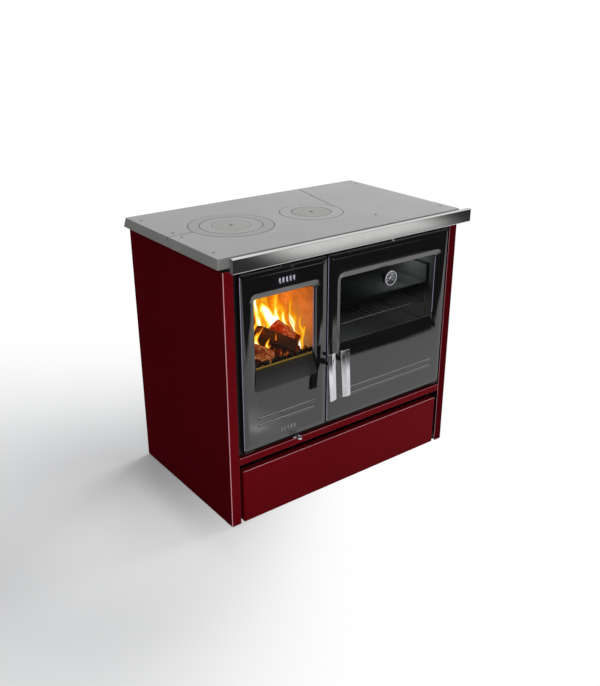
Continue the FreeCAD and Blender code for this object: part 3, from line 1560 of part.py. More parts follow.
def make_hinges():
    """Four pin brackets on the front sheet, below and above each door's hinge edge."""
    brackets = []
    for side in (-1, 1):
        x = hinge_x(side)
        edge = size.hinge_inset
        inner = x - side * (size.hinge_wide - edge)
        outer = x + side * edge
        span = (inner, outer) if side > 0 else (outer, inner)
        for up, door_edge in ((-1, size.door_low), (1, size.door_high)):
            near = door_edge + up * size.hinge_drop
            far = near + up * size.hinge_plate
            z = (far, near) if up < 0 else (near, far)
            name = f"hinge_{'left' if side < 0 else 'right'}_{'low' if up < 0 else 'high'}"
            plate = block(f"{name}_plate", span,
                          (-size.hinge_depth - size.hinge_inset, fascia_face), z)
            start = near if up < 0 else near - size.hinge_pin_long
            pin = rod(f"{name}_pin", size.hinge_pin, size.hinge_pin_long, x, -size.hinge_depth, start)
            brackets.append(fuse(name, plate, pin))
    return part(group("door_hinges", *brackets))


# Handles and catches
def make_handle(label, x, side):
    """The polished blade handle, turned and leaning out towards its lower end."""
    half, thick, turn = size.handle_wide / 2, size.handle_thick, side * size.handle_turn
    top, bottom = size.handle_top, size.handle_top - size.handle_long
    lean = size.handle_lean
    spindle_y = -size.handle_stand
    body = doc.addObject("PartDesign::Body", f"{label}_blade")
    waist = half * WAIST_SHARE

    def section(z, forward, narrow):
        """One slice of the blade: crowned front, flat back, turned outwards."""
        return polygon(sketch_on(body, "XY_Plane", z), [
            (x - half + narrow, spindle_y - forward + turn),
            (x - half + narrow, spindle_y - forward + turn - thick / 2),
            (x, spindle_y - forward - thick),
            (x + half - narrow, spindle_y - forward - turn - thick / 2),
            (x + half - narrow, spindle_y - forward - turn),
        ])

    loft(body, "Additive", section(top, 0, 0), section(bottom, lean, waist))
    lean_at_spindle = lean * (top - size.spindle_z) / size.handle_long
    boss = rod(f"{label}_boss", size.boss, size.boss_long + lean_at_spindle + thick / 2, x,
               spindle_y + size.boss_long, size.spindle_z, "-Y")
    return part(fuse(label, body, boss))


def make_latch(label, x):
    """The spindle through the door with its collar in front and its cam behind."""
    back = fascia_face - size.cam_gap - size.strike_thick
    shaft = rod(f"{label}_shaft", size.spindle, size.handle_stand - size.boss_long + back, x, back,
                size.spindle_z, "-Y")
    collar = rod(f"{label}_collar", size.rosette, size.rosette_thick, x, door_face - size.cam_gap,
                 size.spindle_z, "-Y")
    half = size.cam_wide / 2
    cam = block(f"{label}_cam", (x - half, x + half), (back - size.cam_thick, back),
                (size.spindle_z - half, size.spindle_z + size.cam_long))
    return part(fuse(label, shaft, collar, cam))


def make_strikes():
    """The two strike plates on the front sheet that the cams turn against."""
    plates = []
    half_wide = size.strike_wide / 2
    for name, x in (("firebox", -size.firebox_handle_x), ("oven", -size.oven_handle_x)):
        plates.append(block(f"strike_{name}", (x - half_wide, x + half_wide),
                            (fascia_face - size.strike_thick, fascia_face),
                            (size.spindle_z - half_wide, size.spindle_z + size.strike_high)))
    return part(group("latch_strikes", *plates))


# Thermometer
def make_thermometer(pane):
    """The oven thermometer: cup and stem through the glass, pointer, and the hole for it."""
    glass_front = door_rear - size.glass_seat
    x, z = size.dial_x, size.dial_z
    hole = rod("oven_glass_hole", size.dial_stem + size.hinge_pin_gap,
               size.glass_thick + size.overrun * 2, x, glass_front - size.overrun, z, "+Y")
    part(cut("oven_glass", pane, hole))
    cup = rod("dial_cup", size.dial_radius, size.dial_deep, x, glass_front, z, "-Y")
    inside = rod("dial_inside", size.dial_radius - size.dial_rim, size.dial_recess + size.overrun, x,
                 glass_front - size.dial_deep + size.dial_recess, z, "-Y")
    stem = rod("dial_stem", size.dial_stem, size.dial_stem_long, x, glass_front - size.dial_stem, z,
               "+Y")
    case = cut("thermometer_cup", cup, inside)
    part(fuse("thermometer_case", rounded("thermometer_rim", case, size.dial_round, is_front_circle),
              stem))
    dial_face = glass_front - size.dial_deep + size.dial_recess
    back = dial_face - size.hinge_pin_gap
    thick = size.dial_needle_thick
    hub = rod("needle_hub", size.dial_hub, thick * 2, x, back, z, "-Y")
    half = size.dial_needle_wide / 2
    upright, aslant = math.cos(NEEDLE_TILT), math.sin(NEEDLE_TILT)

    def leaning(side, along):
        """A point of the pointer, from its steps across and along it."""
        return x + side * upright + along * aslant, z - side * aslant + along * upright

    no_side = half - half
    pointer = extruded("needle_blade", "XZ_Plane", [
        leaning(-half, no_side), leaning(half, no_side),
        leaning(no_side, size.dial_needle_long)], -back, thick)
    tail = extruded("needle_tail", "XZ_Plane", [
        leaning(-half, -size.dial_hub * 2), leaning(half, -size.dial_hub * 2),
        leaning(half, half), leaning(-half, half)], -back, thick)
    part(fuse("thermometer_needle", hub, pointer, tail))


def is_front_circle(edge):
    """A test for the two round edges at the front of the thermometer's cup."""
    front = -(size.door_away + size.glass_seat + size.dial_deep).value
    return isinstance(edge.Curve, Part.Circle) and abs(edge.CenterOfMass.y - front) < edge.Tolerance


# Drawer
def make_drawer_front():
    """The folded drawer front with its returns on all four sides."""
    half, wall = size.drawer_front_wide / 2, size.drawer_front_wall
    low, high = size.drawer_front_low, size.drawer_front_high
    solid = block("drawer_front_solid", (-half, half), (drawer_face, fold_back), (low, high))
    bent = rounded("drawer_front_bent", solid, wall, lambda edge: on_front(edge, drawer_face.value))
    room = block("drawer_front_room", (-half + wall, half - wall),
                 (drawer_face + wall, fold_back + size.overrun), (low + wall, high - wall))
    return part(cut("drawer_front", bent, room))


def on_front(edge, y):
    """Whether an edge lies in the front plane."""
    return all(abs(vertex.Point.y - y) < edge.Tolerance for vertex in edge.Vertexes)


def make_drawer_box():
    """The log drawer's box, its front wall folded up behind the drawer front."""
    half, wall = size.drawer_box_half, size.drawer_box_wall
    low, high = size.drawer_box_low, size.drawer_box_high
    front = drawer_face + size.drawer_front_wall
    outer = block("drawer_outer", (-half, half), (front, size.drawer_box_rear), (low, high))
    room = block("drawer_room", (-half + wall, half - wall),
                 (front + wall, size.drawer_box_rear - wall), (low + wall, high + size.overrun))
    return part(cut("drawer_box", outer, room))


def make_runners():
    """Telescopic drawer runners: fixed channel, middle channel and the drawer's own strip."""
    front, back = fascia_rear, size.runner_rear
    long = back - front
    wall, gap, lip = size.runner_wall, size.runner_gap, size.runner_lip
    low, high = size.runner_low, size.runner_low + size.runner_high
    members = {"runner_outer": [], "runner_middle": [], "runner_inner": []}
    for side in (-1, 1):
        web = side * runner_rail_inside
        web_in = side * (runner_rail_inside - wall)
        tip = side * (runner_rail_inside - wall - lip)
        name = "left" if side < 0 else "right"
        members["runner_outer"].append(extruded(f"runner_outer_{name}", "XZ_Plane", [
            (web, low), (web, high), (tip, high), (tip, high - wall), (web_in, high - wall),
            (web_in, low + wall), (tip, low + wall), (tip, low)], -back, long))
        middle_in = middle_outside - size.runner_middle_thick
        mid_low, mid_high = low + wall + gap, high - wall - gap
        out_x, web_x, in_x = side * middle_outside, side * (middle_outside - wall), side * middle_in
        members["runner_middle"].append(extruded(f"runner_middle_{name}", "XZ_Plane", [
            (out_x, mid_low), (out_x, mid_high), (in_x, mid_high), (in_x, mid_high - wall),
            (web_x, mid_high - wall), (web_x, mid_low + wall), (in_x, mid_low + wall),
            (in_x, mid_low)], -back, long))
        strip = (size.drawer_box_half, strip_outside) if side > 0 else (
            -strip_outside, -size.drawer_box_half)
        members["runner_inner"].append(block(
            f"runner_inner_{name}", strip, (front, back),
            (mid_low + wall + gap, mid_high - wall - gap)))
    for label, pair in members.items():
        part(group(label, *pair))


def build():
    """Make every sub-part of the cooker in the order that it goes together."""
    make_feet()
    make_base_tray()
    make_corner_posts()
    make_side_rails()
    make_deck()
    for side in (-1, 1):
        make_side_panel(side)
    make_rear_panel()
    make_fascia()
    make_trim_strip()
    make_hob_frame()
    hob_plate = make_hob_plate()
    make_hob_screws()
    big_x = -size.big_hob_x
    make_ring("large_outer_ring", size.big_outer_ring, size.big_middle_ring, big_x, 0)
    make_ring("large_middle_ring", size.big_middle_ring, size.big_lid, big_x, 0)
    make_lid("large_lid", size.big_lid, big_x, 0)
    make_ring("small_ring", size.small_outer_ring, size.small_lid, size.small_hob_x, -size.small_hob_y)
    make_lid("small_lid", size.small_lid, size.small_hob_x, -size.small_hob_y)
    make_rail(hob_plate)
    make_firebox_shell()
    make_firebricks()
    make_grate()
    make_ash_pan()
    make_oven_box()
    make_oven_racks()
    make_oven_shelf()
    make_baking_tray()
    make_flue_chamber()
    make_flue_baffle()
    make_rear_duct()
    make_flue_collar()
    make_damper()
    make_firebox_door()
    make_oven_door()
    part(make_glass("firebox_glass", firebox_recess))
    make_clips("firebox_glass_clips", firebox_recess)
    make_clips("oven_glass_clips", oven_recess)
    make_seal("firebox_door_seal", -size.firebox_opening_left, -size.firebox_opening_right)
    make_seal("oven_door_seal", oven_left, size.oven_right)
    make_liner("firebox_door_liner", -size.firebox_opening_left, -size.firebox_opening_right)
    make_liner("oven_door_liner", oven_left, size.oven_right)
    make_slide("primary_air_slide", size.low_slot_z, -size.low_lever_x, size.door_low, -1)
    make_slide("secondary_air_slide", size.high_slot_z, -size.slot_x, size.door_high, 1)
    make_hinges()
    make_handle("firebox_handle", -size.firebox_handle_x, -1)
    make_handle("oven_handle", -size.oven_handle_x, 1)
    make_latch("firebox_latch", -size.firebox_handle_x)
    make_latch("oven_latch", -size.oven_handle_x)
    make_strikes()
    make_thermometer(make_glass("oven_glass_pane", oven_recess))
    make_drawer_front()
    make_drawer_box()
    make_runners()
    doc.recompute()


def check():
    """Stop on any object that failed and on any sub-part without a sound solid."""
    for thing in doc.Objects:
        if "Invalid" in thing.State or "Error" in thing.State:
            raise RuntimeError(f"{thing.Label} failed: {thing.State}")
    for thing in PARTS:
        if thing.Shape.isNull() or not thing.Shape.isValid() or not thing.Shape.Solids:
            raise RuntimeError(f"{thing.Label} has no sound solid")


def write():
    """Write each sub-part to a file that carries its label."""
    os.makedirs("parts", exist_ok=True)
    for thing in PARTS:
        thing.Shape.exportStep(f"parts/{thing.Label}.step")
        print(f"{thing.Label}: {len(thing.Shape.Solids)} solid, {thing.Shape.Volume / 1000:.1f} cm3")
    print(f"{len(PARTS)} sub-parts")


build()
check()
write()
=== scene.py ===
"""Looks of the wood-fired range cooker: enamelled doors and sides, machined hob, steel rail, fire.

Metres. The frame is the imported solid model: +X is the right side seen from the front, the doors
face -Y and +Z is up. Every piece that is made here rides on one body of that model.
"""

import logging
import math
from dataclasses import dataclass, replace
from enum import Enum
from typing import Dict, List, Optional, Sequence, Tuple

import bmesh
import bpy
import numpy as np
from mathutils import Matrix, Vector


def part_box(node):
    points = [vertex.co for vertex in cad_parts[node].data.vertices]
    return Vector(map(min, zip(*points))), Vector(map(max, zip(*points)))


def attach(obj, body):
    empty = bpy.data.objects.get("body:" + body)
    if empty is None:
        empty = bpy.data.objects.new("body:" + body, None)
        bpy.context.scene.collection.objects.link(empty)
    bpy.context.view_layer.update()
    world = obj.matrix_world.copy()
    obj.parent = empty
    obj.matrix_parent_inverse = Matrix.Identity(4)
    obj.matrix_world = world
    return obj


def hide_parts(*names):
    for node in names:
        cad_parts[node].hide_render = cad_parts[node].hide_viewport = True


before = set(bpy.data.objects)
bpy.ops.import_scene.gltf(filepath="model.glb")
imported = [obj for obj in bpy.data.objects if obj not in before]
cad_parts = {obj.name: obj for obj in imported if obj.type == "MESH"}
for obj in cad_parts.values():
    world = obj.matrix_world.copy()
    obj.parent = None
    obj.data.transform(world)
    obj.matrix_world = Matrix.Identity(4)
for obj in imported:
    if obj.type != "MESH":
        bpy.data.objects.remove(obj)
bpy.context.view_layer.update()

LOG = logging.getLogger("range_cooker")
MM = 0.001
FAR = 9.0  # metres, beyond any face of the cooker
Colour = Tuple[float, float, float]
Point = Tuple[float, float, float]
Socket = bpy.types.NodeSocket
Thing = bpy.types.Object


def srgb(code: str) -> Colour:
    """Turn six hex digits, a colour as a screen shows it, into a shader's linear colour."""
    values = [int(code[i:i + 2], 16) / 255 for i in (0, 2, 4)]
    return tuple(v / 12.92 if v <= 0.04045 else ((v + 0.055) / 1.055) ** 2.4 for v in values)


def shade(colour: Colour, share: float) -> Colour:
    """A colour times a share, held below white."""
    return tuple(min(1.0, value * share) for value in colour)


class Body(Enum):
    """The bodies of the solid model that pieces made here ride on."""

    ROOT = "root"
    FIREBOX_DOOR = "firebox_door"
    FIREBOX_HANDLE = "firebox_handle"
    PRIMARY_AIR = "primary_air_slide"
    SECONDARY_AIR = "secondary_air_slide"
    OVEN_DOOR = "oven_door"
    OVEN_HANDLE = "oven_handle"
    DRAWER = "drawer"
    LARGE_OUTER = "large_outer_ring"
    LARGE_MIDDLE = "large_middle_ring"
    LARGE_LID = "large_lid"
    SMALL_RING = "small_ring"
    SMALL_LID = "small_lid"


# Node wiring
class Wiring:
    """A small builder for one node tree."""

    def __init__(self, tree: bpy.types.NodeTree) -> None:
        """Start from an empty tree."""
        self.tree = tree
        self.tree.nodes.clear()

    def add(self, kind: str, **settings: object) -> bpy.types.Node:
        """Add one node.

        Args:
            kind: the node's type.
            settings: its plain properties.

        Returns:
            The node.
        """
        node = self.tree.nodes.new(kind)
        for key, value in settings.items():
            setattr(node, key, value)
        return node

    def link(self, source: Socket, target: Socket) -> None:
        """Join an output to an input."""
        self.tree.links.new(source, target)

    def feed(self, node: bpy.types.Node, **values: object) -> bpy.types.Node:
        """Set or link inputs of a node.

        Args:
            node: the node.
            values: sockets to link or values to set, by input, with underscores for spaces.

        Returns:
            The node.
        """
        for key, value in values.items():
            socket = node.inputs[key.replace("_", " ")]
            if isinstance(value, Socket):
                self.link(value, socket)
            elif isinstance(value, tuple) and socket.type == "RGBA":
                socket.default_value = (*value, 1)
            else:
                socket.default_value = value
        return node

    def ramp(self, source: Socket, low: float, high: float, start: float = 0,
             end: float = 1, smooth: bool = False) -> Socket:
        """Remap a value from one span to another, held inside it.

        Args:
            source: the value.
            low: what comes out at the start.
            high: what comes out at the end.
            start: the value at the start.
            end: the value at the end.
            smooth: whether the change is eased at both ends.

        Returns:
            The remapped value.
        """
        node = self.add("ShaderNodeMapRange",
                        interpolation_type="SMOOTHSTEP" if smooth else "LINEAR")
        self.feed(node, Value=source, From_Min=start, From_Max=end, To_Min=low, To_Max=high)
        return node.outputs[0]

    def math(self, kind: str, first: object, second: object = 0.0) -> Socket:
        """One sum.

        Args:
            kind: the operation.
            first: a socket or a number.
            second: a socket or a number.

        Returns:
            The result.
        """
        node = self.add("ShaderNodeMath", operation=kind)
        for socket, value in zip(node.inputs, (first, second)):
            if isinstance(value, Socket):
                self.link(value, socket)
            else:
                socket.default_value = value
        return node.outputs[0]

    def axes(self, place: Socket) -> Sequence[Socket]:
        """A place split into its x, y and z."""
        return self.feed(self.add("ShaderNodeSeparateXYZ"), Vector=place).outputs

    def measure(self, kind: str, place: Socket, fixed: Point = (0.0, 0.0, 0.0)) -> Socket:
        """One number from a place and a fixed vector.

        Args:
            kind: dot product, distance or length.
            place: the place.
            fixed: the vector, which a length doesn't use.

        Returns:
            The number.
        """
        node = self.add("ShaderNodeVectorMath", operation=kind)
        self.link(place, node.inputs[0])
        node.inputs[1].default_value = fixed
        return node.outputs["Value"]

    def mix(self, share: Socket, first: Socket, second: Socket) -> Socket:
        """Two shaders mixed.

        Args:
            share: share of the second.
            first: one shader.
            second: the other.

        Returns:
            The mixed shader.
        """
        node = self.add("ShaderNodeMixShader")
        for source, target in zip((share, first, second), node.inputs):
            self.link(source, target)
        return node.outputs[0]

    def emit(self, strength: object = 1.0, colour: Colour = (1.0, 1.0, 1.0)) -> Socket:
        """A shader that glows by itself."""
        return self.feed(self.add("ShaderNodeEmission"), Color=colour,
                         Strength=strength).outputs[0]


class Nodes(Wiring):
    """The node tree of one material."""

    def __init__(self, name: str) -> None:
        """Start a material with its output, a Principled shader and coordinates.

        Args:
            name: name of the material.
        """
        self.material = bpy.data.materials.new(name)
        self.material.use_nodes = True
        super().__init__(self.material.node_tree)
        self.output = self.add("ShaderNodeOutputMaterial")
        self.shader = self.add("ShaderNodeBsdfPrincipled")
        self.link(self.shader.outputs[0], self.output.inputs["Surface"])
        self.coordinates = self.add("ShaderNodeTexCoord")
        self.here = self.coordinates.outputs["Object"]

    def set(self, **values: object) -> None:
        """Set or link inputs of the shader."""
        self.feed(self.shader, **values)

    def place(self, scale: Sequence[float] = (1, 1, 1), centre: Sequence[float] = (0, 0, 0),
              turn: Sequence[float] = (0, 0, 0)) -> Socket:
        """Coordinates of the piece.

        Args:
            scale: stretch along each axis.
            centre: the point that becomes the origin.
            turn: angles about the axes in radians.

        Returns:
            The turned, centred and stretched coordinates.
        """
        mapping = self.feed(self.add("ShaderNodeMapping"), Scale=scale, Rotation=turn,
                            Location=[-c * s for c, s in zip(centre, scale)], Vector=self.here)
        return mapping.outputs[0]

    def noise(self, scale: float, detail: float = 4, rough: float = 0.5,
              stretch: Sequence[float] = (1, 1, 1), distortion: float = 0.0) -> Socket:
        """Fractal noise over the piece.

        Args:
            scale: how many lumps there are to a metre.
            detail: number of octaves.
            rough: share that each octave keeps of the one before.
            stretch: how much denser it is along each axis.
            distortion: how far it is swirled.

        Returns:
            The noise, from 0 to 1.
        """
        node = self.add("ShaderNodeTexNoise")
        return self.feed(node, Scale=scale, Detail=detail, Roughness=rough, Distortion=distortion,
                         Vector=self.place(stretch)).outputs["Fac"]

    def cells(self, scale: float, stretch: Sequence[float] = (1, 1, 1),
              feature: str = "F1") -> Socket:
        """Distance to the nearest of many scattered points, or to the border between them."""
        node = self.add("ShaderNodeTexVoronoi", feature=feature)
        return self.feed(node, Scale=scale, Vector=self.place(stretch)).outputs["Distance"]

    def rings(self, centre: Point, pitch: float) -> Socket:
        """Fine circles about an upright axis, as a lathe leaves them.

        The wave texture repeats each 2 pi / 20 at scale 1, so its scale is 2 pi / 20 / pitch.

        Args:
            centre: a point on the axis.
            pitch: distance between the circles.

        Returns:
            The wave, from 0 to 1.
        """
        node = self.add("ShaderNodeTexWave", wave_type="RINGS", rings_direction="Z")
        return self.feed(node, Scale=1 / (pitch * 20) * 2 * math.pi, Distortion=0.4,
                         Vector=self.place(centre=centre)).outputs["Fac"]

    def colours(self, source: Socket, stops: Sequence[Tuple[float, Colour]]) -> Socket:
        """A colour ramp.

        Args:
            source: what the colour follows.
            stops: places from 0 to 1 with their colours, in order.

        Returns:
            The colour.
        """
        node = self.add("ShaderNodeValToRGB")
        elements = node.color_ramp.elements
        elements[0].position, elements[-1].position = stops[0][0], stops[-1][0]
        elements[0].color, elements[-1].color = (*stops[0][1], 1), (*stops[-1][1], 1)
        for place, colour in stops[1:-1]:
            elements.new(place).color = (*colour, 1)
        self.link(source, node.inputs[0])
        return node.outputs[0]

    def blend(self, *layers: Tuple[Socket, float]) -> Socket:
        """The weighted sum of several patterns.

        Args:
            layers: each pattern with its weight.

        Returns:
            The sum.
        """
        total = None
        for source, weight in layers:
            part = self.math("MULTIPLY", source, weight)
            total = part if total is None else self.math("ADD", total, part)
        return total

    def attribute(self, name: str) -> Socket:
        """A number that the piece's own mesh carries."""
        return self.add("ShaderNodeAttribute", attribute_name=name).outputs["Fac"]

    def bump(self, *layers: Tuple[Socket, float, float]) -> None:
        """Stack bumps onto the shader.

        Args:
            layers: for each bump its height, strength and depth in metres.
        """
        last = None
        for height, strength, distance in layers:
            node = self.feed(self.add("ShaderNodeBump"), Strength=strength, Distance=distance,
                             Height=height)
            if last:
                self.link(last, node.inputs["Normal"])
            last = node.outputs[0]
        self.set(Normal=last)


# Finishes
@dataclass(frozen=True)
class Look:
    """What every finish has: the name of its material."""

    name: str

    def wire(self, n: Nodes) -> None:
        """Wire the look, as each finish does in its own way."""
        raise NotImplementedError

    def material(self) -> bpy.types.Material:
        """Build the material.

        Returns:
            The material.
        """
        n = Nodes(self.name)
        self.wire(n)
        return n.material


@dataclass(frozen=True)
class Coat(Look):
    """A finish that is made of casts of one colour."""

    colour: Colour

    def tones(self, n: Nodes, source: Socket, *stops: Tuple[float, float]) -> Socket:
        """Casts of the colour along a pattern: each stop is a place and its share of the colour."""
        return n.colours(source, [(place, shade(self.colour, share)) for place, share in stops])


@dataclass(frozen=True)
class Enamel(Coat):
    """Stoved enamel on steel sheet: a faint cloudiness, a fine ripple and uneven gloss."""

    roughness: float = 0.16
    specular: float = 0.5
    variation: float = 0.06
    ripple: float = 0.05

    def wire(self, n: Nodes) -> None:
        """Wire the look.

        Args:
            n: the material's nodes.
        """
        gloss = n.ramp(n.noise(70, 6, 0.7), self.roughness * 0.85, self.roughness * 1.3, 0.3, 0.7)
        n.set(Base_Color=self.tones(n, n.noise(4, 3), (0.3, 1 - self.variation),
                                    (0.7, 1 + self.variation)),
              Roughness=gloss, Specular_IOR_Level=self.specular)
        n.bump((n.noise(380, 2), self.ripple, 0.0004), (n.noise(9, 2), self.ripple, 0.002))


@dataclass(frozen=True)
class PaintedFirelightEnamel(Look):
    """Dark enamel below the window in painted reflection: lighter at its foot, gold painted
    firelight at its rim.
    """

    rise: Tuple[float, float]
    stops: Tuple[Tuple[float, Colour], ...]

    def wire(self, n: Nodes) -> None:
        """Let the colour follow the height between the two ends of the rise."""
        height = n.ramp(n.axes(n.here)[2], 0, 1, *self.rise)
        n.set(Base_Color=n.colours(height, self.stops), Roughness=0.25, Specular_IOR_Level=0.2)


@dataclass(frozen=True)
class PaintedMatt(Coat):
    """Matt heat-resistant paint with a fine grain."""

    roughness: float = 0.55

    def wire(self, n: Nodes) -> None:
        """Wire the look.

        Args:
            n: the material's nodes.
        """
        n.set(Base_Color=self.tones(n, n.noise(14, 5, 0.6), (0.35, 0.75), (0.65, 1.25)),
              Roughness=n.ramp(n.noise(60), self.roughness - 0.08, self.roughness + 0.1))
        n.bump((n.noise(900, 3), 0.25, 0.0003))


@dataclass(frozen=True)
class MachinedIron(Coat):
    """Ground cast iron: a grey satin face with mottling, fine grain and long grinding marks."""

    roughness: float = 0.46
    metallic: float = 0.35

    def wire(self, n: Nodes) -> None:
        """Wire the look.

        Args:
            n: the material's nodes.
        """
        lines = n.noise(26, 3, 0.6, (1, 30, 1))
        grain = n.noise(230, 4, 0.7)
        mix = n.blend((n.noise(7, 8, 0.6), 0.55), (grain, 0.25), (lines, 0.2))
        n.set(Base_Color=self.tones(n, mix, (0.38, 0.9), (0.62, 1.08)),
              Metallic=self.metallic,
              Roughness=n.ramp(mix, self.roughness - 0.06, self.roughness + 0.08, 0.35, 0.65))
        n.bump((lines, 0.1, 0.0003), (grain, 0.14, 0.0003))


@dataclass(frozen=True)
class TurnedIron(Coat):
    """A lathe-turned cast ring: fine circles about its own centre over mottled grey iron."""

    centre: Point
    roughness: float = 0.44
    metallic: float = 0.35
    pitch: float = 1.1 * MM

    def wire(self, n: Nodes) -> None:
        """Wire the look.

        Args:
            n: the material's nodes.
        """
        turned = n.rings(self.centre, self.pitch)
        grain = n.noise(210, 4, 0.7)
        mix = n.blend((n.noise(12, 7, 0.6), 0.5), (grain, 0.3), (turned, 0.2))
        n.set(Base_Color=self.tones(n, mix, (0.36, 0.9), (0.64, 1.07)),
              Metallic=self.metallic,
              Roughness=n.ramp(mix, self.roughness - 0.06, self.roughness + 0.08, 0.35, 0.65))
        n.bump((turned, 0.1, 0.0002), (grain, 0.12, 0.0003))


@dataclass(frozen=True)
class BrushedSteel(Coat):
    """Steel brushed along one axis: long fine streaks in colour, gloss and relief."""

    roughness: float = 0.12
    along: Tuple[float, float, float] = (1, 60, 60)

    def wire(self, n: Nodes) -> None:
        """Wire the look.

        Args:
            n: the material's nodes.
        """
        streak = n.noise(40, 4, 0.6, self.along)
        n.set(Base_Color=self.tones(n, streak, (0.3, 0.94), (0.7, 1.04)),
              Metallic=1.0,
              Roughness=n.ramp(n.blend((streak, 1.0), (n.noise(6, 3), 0.5)),
                               self.roughness * 0.75, self.roughness * 1.3, 0.4, 1.1))
        n.bump((streak, 0.012, 0.0002))


@dataclass(frozen=True)
class PolishedSteel(Coat):
    """Near-mirror steel with faint polishing haze."""

    roughness: float = 0.09
    metallic: float = 1.0

    def wire(self, n: Nodes) -> None:
        """Wire the look.

        Args:
            n: the material's nodes.
        """
        haze = n.noise(35, 5, 0.6)
        n.set(Base_Color=self.tones(n, haze, (0.3, 0.93), (0.7, 1)),
              Metallic=self.metallic,
              Roughness=n.ramp(haze, self.roughness * 0.7, self.roughness * 1.6, 0.35, 0.7))
        n.bump((n.noise(260, 3), 0.03, 0.0002))


@dataclass(frozen=True)
class ZincSheet(Coat):
    """Galvanised sheet with broad spangles."""

    roughness: float = 0.38
    metallic: float = 0.8

    def wire(self, n: Nodes) -> None:
        """Wire the look.

        Args:
            n: the material's nodes.
        """
        spangle = n.cells(55)
        mix = n.blend((spangle, 0.8), (n.noise(8, 4), 0.4))
        n.set(Base_Color=self.tones(n, mix, (0.2, 0.92), (0.8, 1.06)),
              Metallic=self.metallic,
              Roughness=n.ramp(spangle, self.roughness - 0.04, self.roughness + 0.06))
        n.bump((n.noise(500, 2), 0.06, 0.0002))


@dataclass(frozen=True)
class FiredClay(Coat):
    """Moulded firebrick: pale, porous, sooted in broad clouds."""

    def wire(self, n: Nodes) -> None:
        """Wire the look.

        Args:
            n: the material's nodes.
        """
        cloudy = n.noise(12, 6, 0.65)
        n.set(Base_Color=self.tones(n, cloudy, (0.25, 0.45), (0.5, 1), (0.75, 1.2)),
              Roughness=0.92)
        n.bump((n.cells(260), 0.5, 0.0012), (cloudy, 0.4, 0.002))


@dataclass(frozen=True)
class RopeSeal(Coat):
    """Woven glass-fibre rope: slanting strands."""

    slant: float = 0.8

    def wire(self, n: Nodes) -> None:
        """Wire the look.

        Args:
            n: the material's nodes.
        """
        waves = [n.feed(n.add("ShaderNodeTexWave", wave_type="BANDS"), Scale=120, Distortion=0.6,
                        Vector=n.place(turn=(0, turn, 0))).outputs["Fac"]
                 for turn in (self.slant, -self.slant)]
        weave = n.math("MULTIPLY", *waves)
        n.set(Base_Color=self.tones(n, weave, (0.1, 0.5), (0.8, 1)), Roughness=0.9,
              Sheen_Weight=0.3)
        n.bump((weave, 0.8, 0.0012))


@dataclass(frozen=True)
class Pane(Coat):
    """Heat-resistant glass with a smoky tint and a faint film of dust."""

    bend: float = 1.2

    def wire(self, n: Nodes) -> None:
        """Wire the look."""
        n.set(Base_Color=self.colour, Transmission_Weight=1.0, IOR=self.bend,
              Roughness=n.ramp(n.noise(20, 5, 0.6), 0.0, 0.02, 0.5, 0.8))


@dataclass(frozen=True)
class BurningWood(Coat):
    """Charred wood in the colour of its scales, with glowing cracks between them and pale ash."""

    glow: float = 1.0
    spread: float = 0.5
    ash: float = 0.3

    def wire(self, n: Nodes) -> None:
        """Wire the look.

        Args:
            n: the material's nodes.
        """
        crack = n.cells(120, (1, 1, 1.4), "DISTANCE_TO_EDGE")
        fine = n.noise(160, 5, 0.7)
        patches = n.ramp(n.noise(22, 4, 0.6), 0, 1, 0.62 - self.spread * 0.3,
                         0.78 - self.spread * 0.3)
        edge = n.ramp(crack, 1, 0, 0.0, 0.09)
        heat = n.math("MULTIPLY", n.blend((edge, 0.75), (patches, 0.55)), patches)
        heat = n.math("MULTIPLY", heat, n.ramp(fine, 0.35, 1.3, 0.3, 0.7))
        dust = (self.ash * 0.5, self.ash * 0.47, self.ash * 0.43)
        n.set(Base_Color=n.colours(fine, [(0.35, shade(self.colour, 0.6)), (0.6, self.colour),
                                          (0.8, dust)]),
              Roughness=0.85,
              Emission_Color=n.colours(heat, [(0.0, (0.02, 0.001, 0.0)), (0.25, (0.5, 0.02, 0.002)),
                                              (0.5, (1.0, 0.13, 0.01)), (0.8, (1.0, 0.45, 0.06)),
                                              (1.0, (1.0, 0.85, 0.4))]),
              Emission_Strength=n.ramp(heat, 0.0, 2.2 * self.glow, 0.02, 0.9))
        n.bump((crack, 0.6, 0.003), (fine, 0.4, 0.0012))


@dataclass(frozen=True)
class Flame(Look):
    """Burning gas: heat carried by the mesh, torn upwards by noise, from clear red to white."""

    strength: float = 1.0
    tear: float = 0.55

    def wire(self, n: Nodes) -> None:
        """Wire the look.

        Args:
            n: the material's nodes.
        """
        carried = n.attribute("warmth")
        wisps = n.noise(46, 4, 0.55, (1, 1, 0.34), 0.9)
        licks = n.noise(120, 3, 0.5, (1, 1, 0.25), 0.6)
        torn = n.ramp(n.blend((wisps, 0.75), (licks, 0.25)), -self.tear, self.tear, 0.3, 0.7)
        heat = n.math("ADD", carried,
                      n.math("MULTIPLY", torn, n.ramp(carried, 0.12, 0.5, 0, 0.8)))
        gas = [(0.05, (0.75, 0.07, 0.002)), (0.25, (1.0, 0.2, 0.004)), (0.45, (1.0, 0.42, 0.012)),
               (0.62, (1.0, 0.68, 0.04)), (0.8, (1.0, 0.9, 0.35)), (0.95, (1.0, 0.98, 0.85))]
        n.set(Base_Color=(0.0, 0.0, 0.0), Roughness=1.0, Specular_IOR_Level=0.0,
              Emission_Color=n.colours(heat, gas),
              Emission_Strength=n.ramp(heat, 0.8 * self.strength, 1.6 * self.strength, 0.1, 0.9),
              Alpha=n.ramp(heat, 0, 1, 0.08, 0.42, smooth=True))


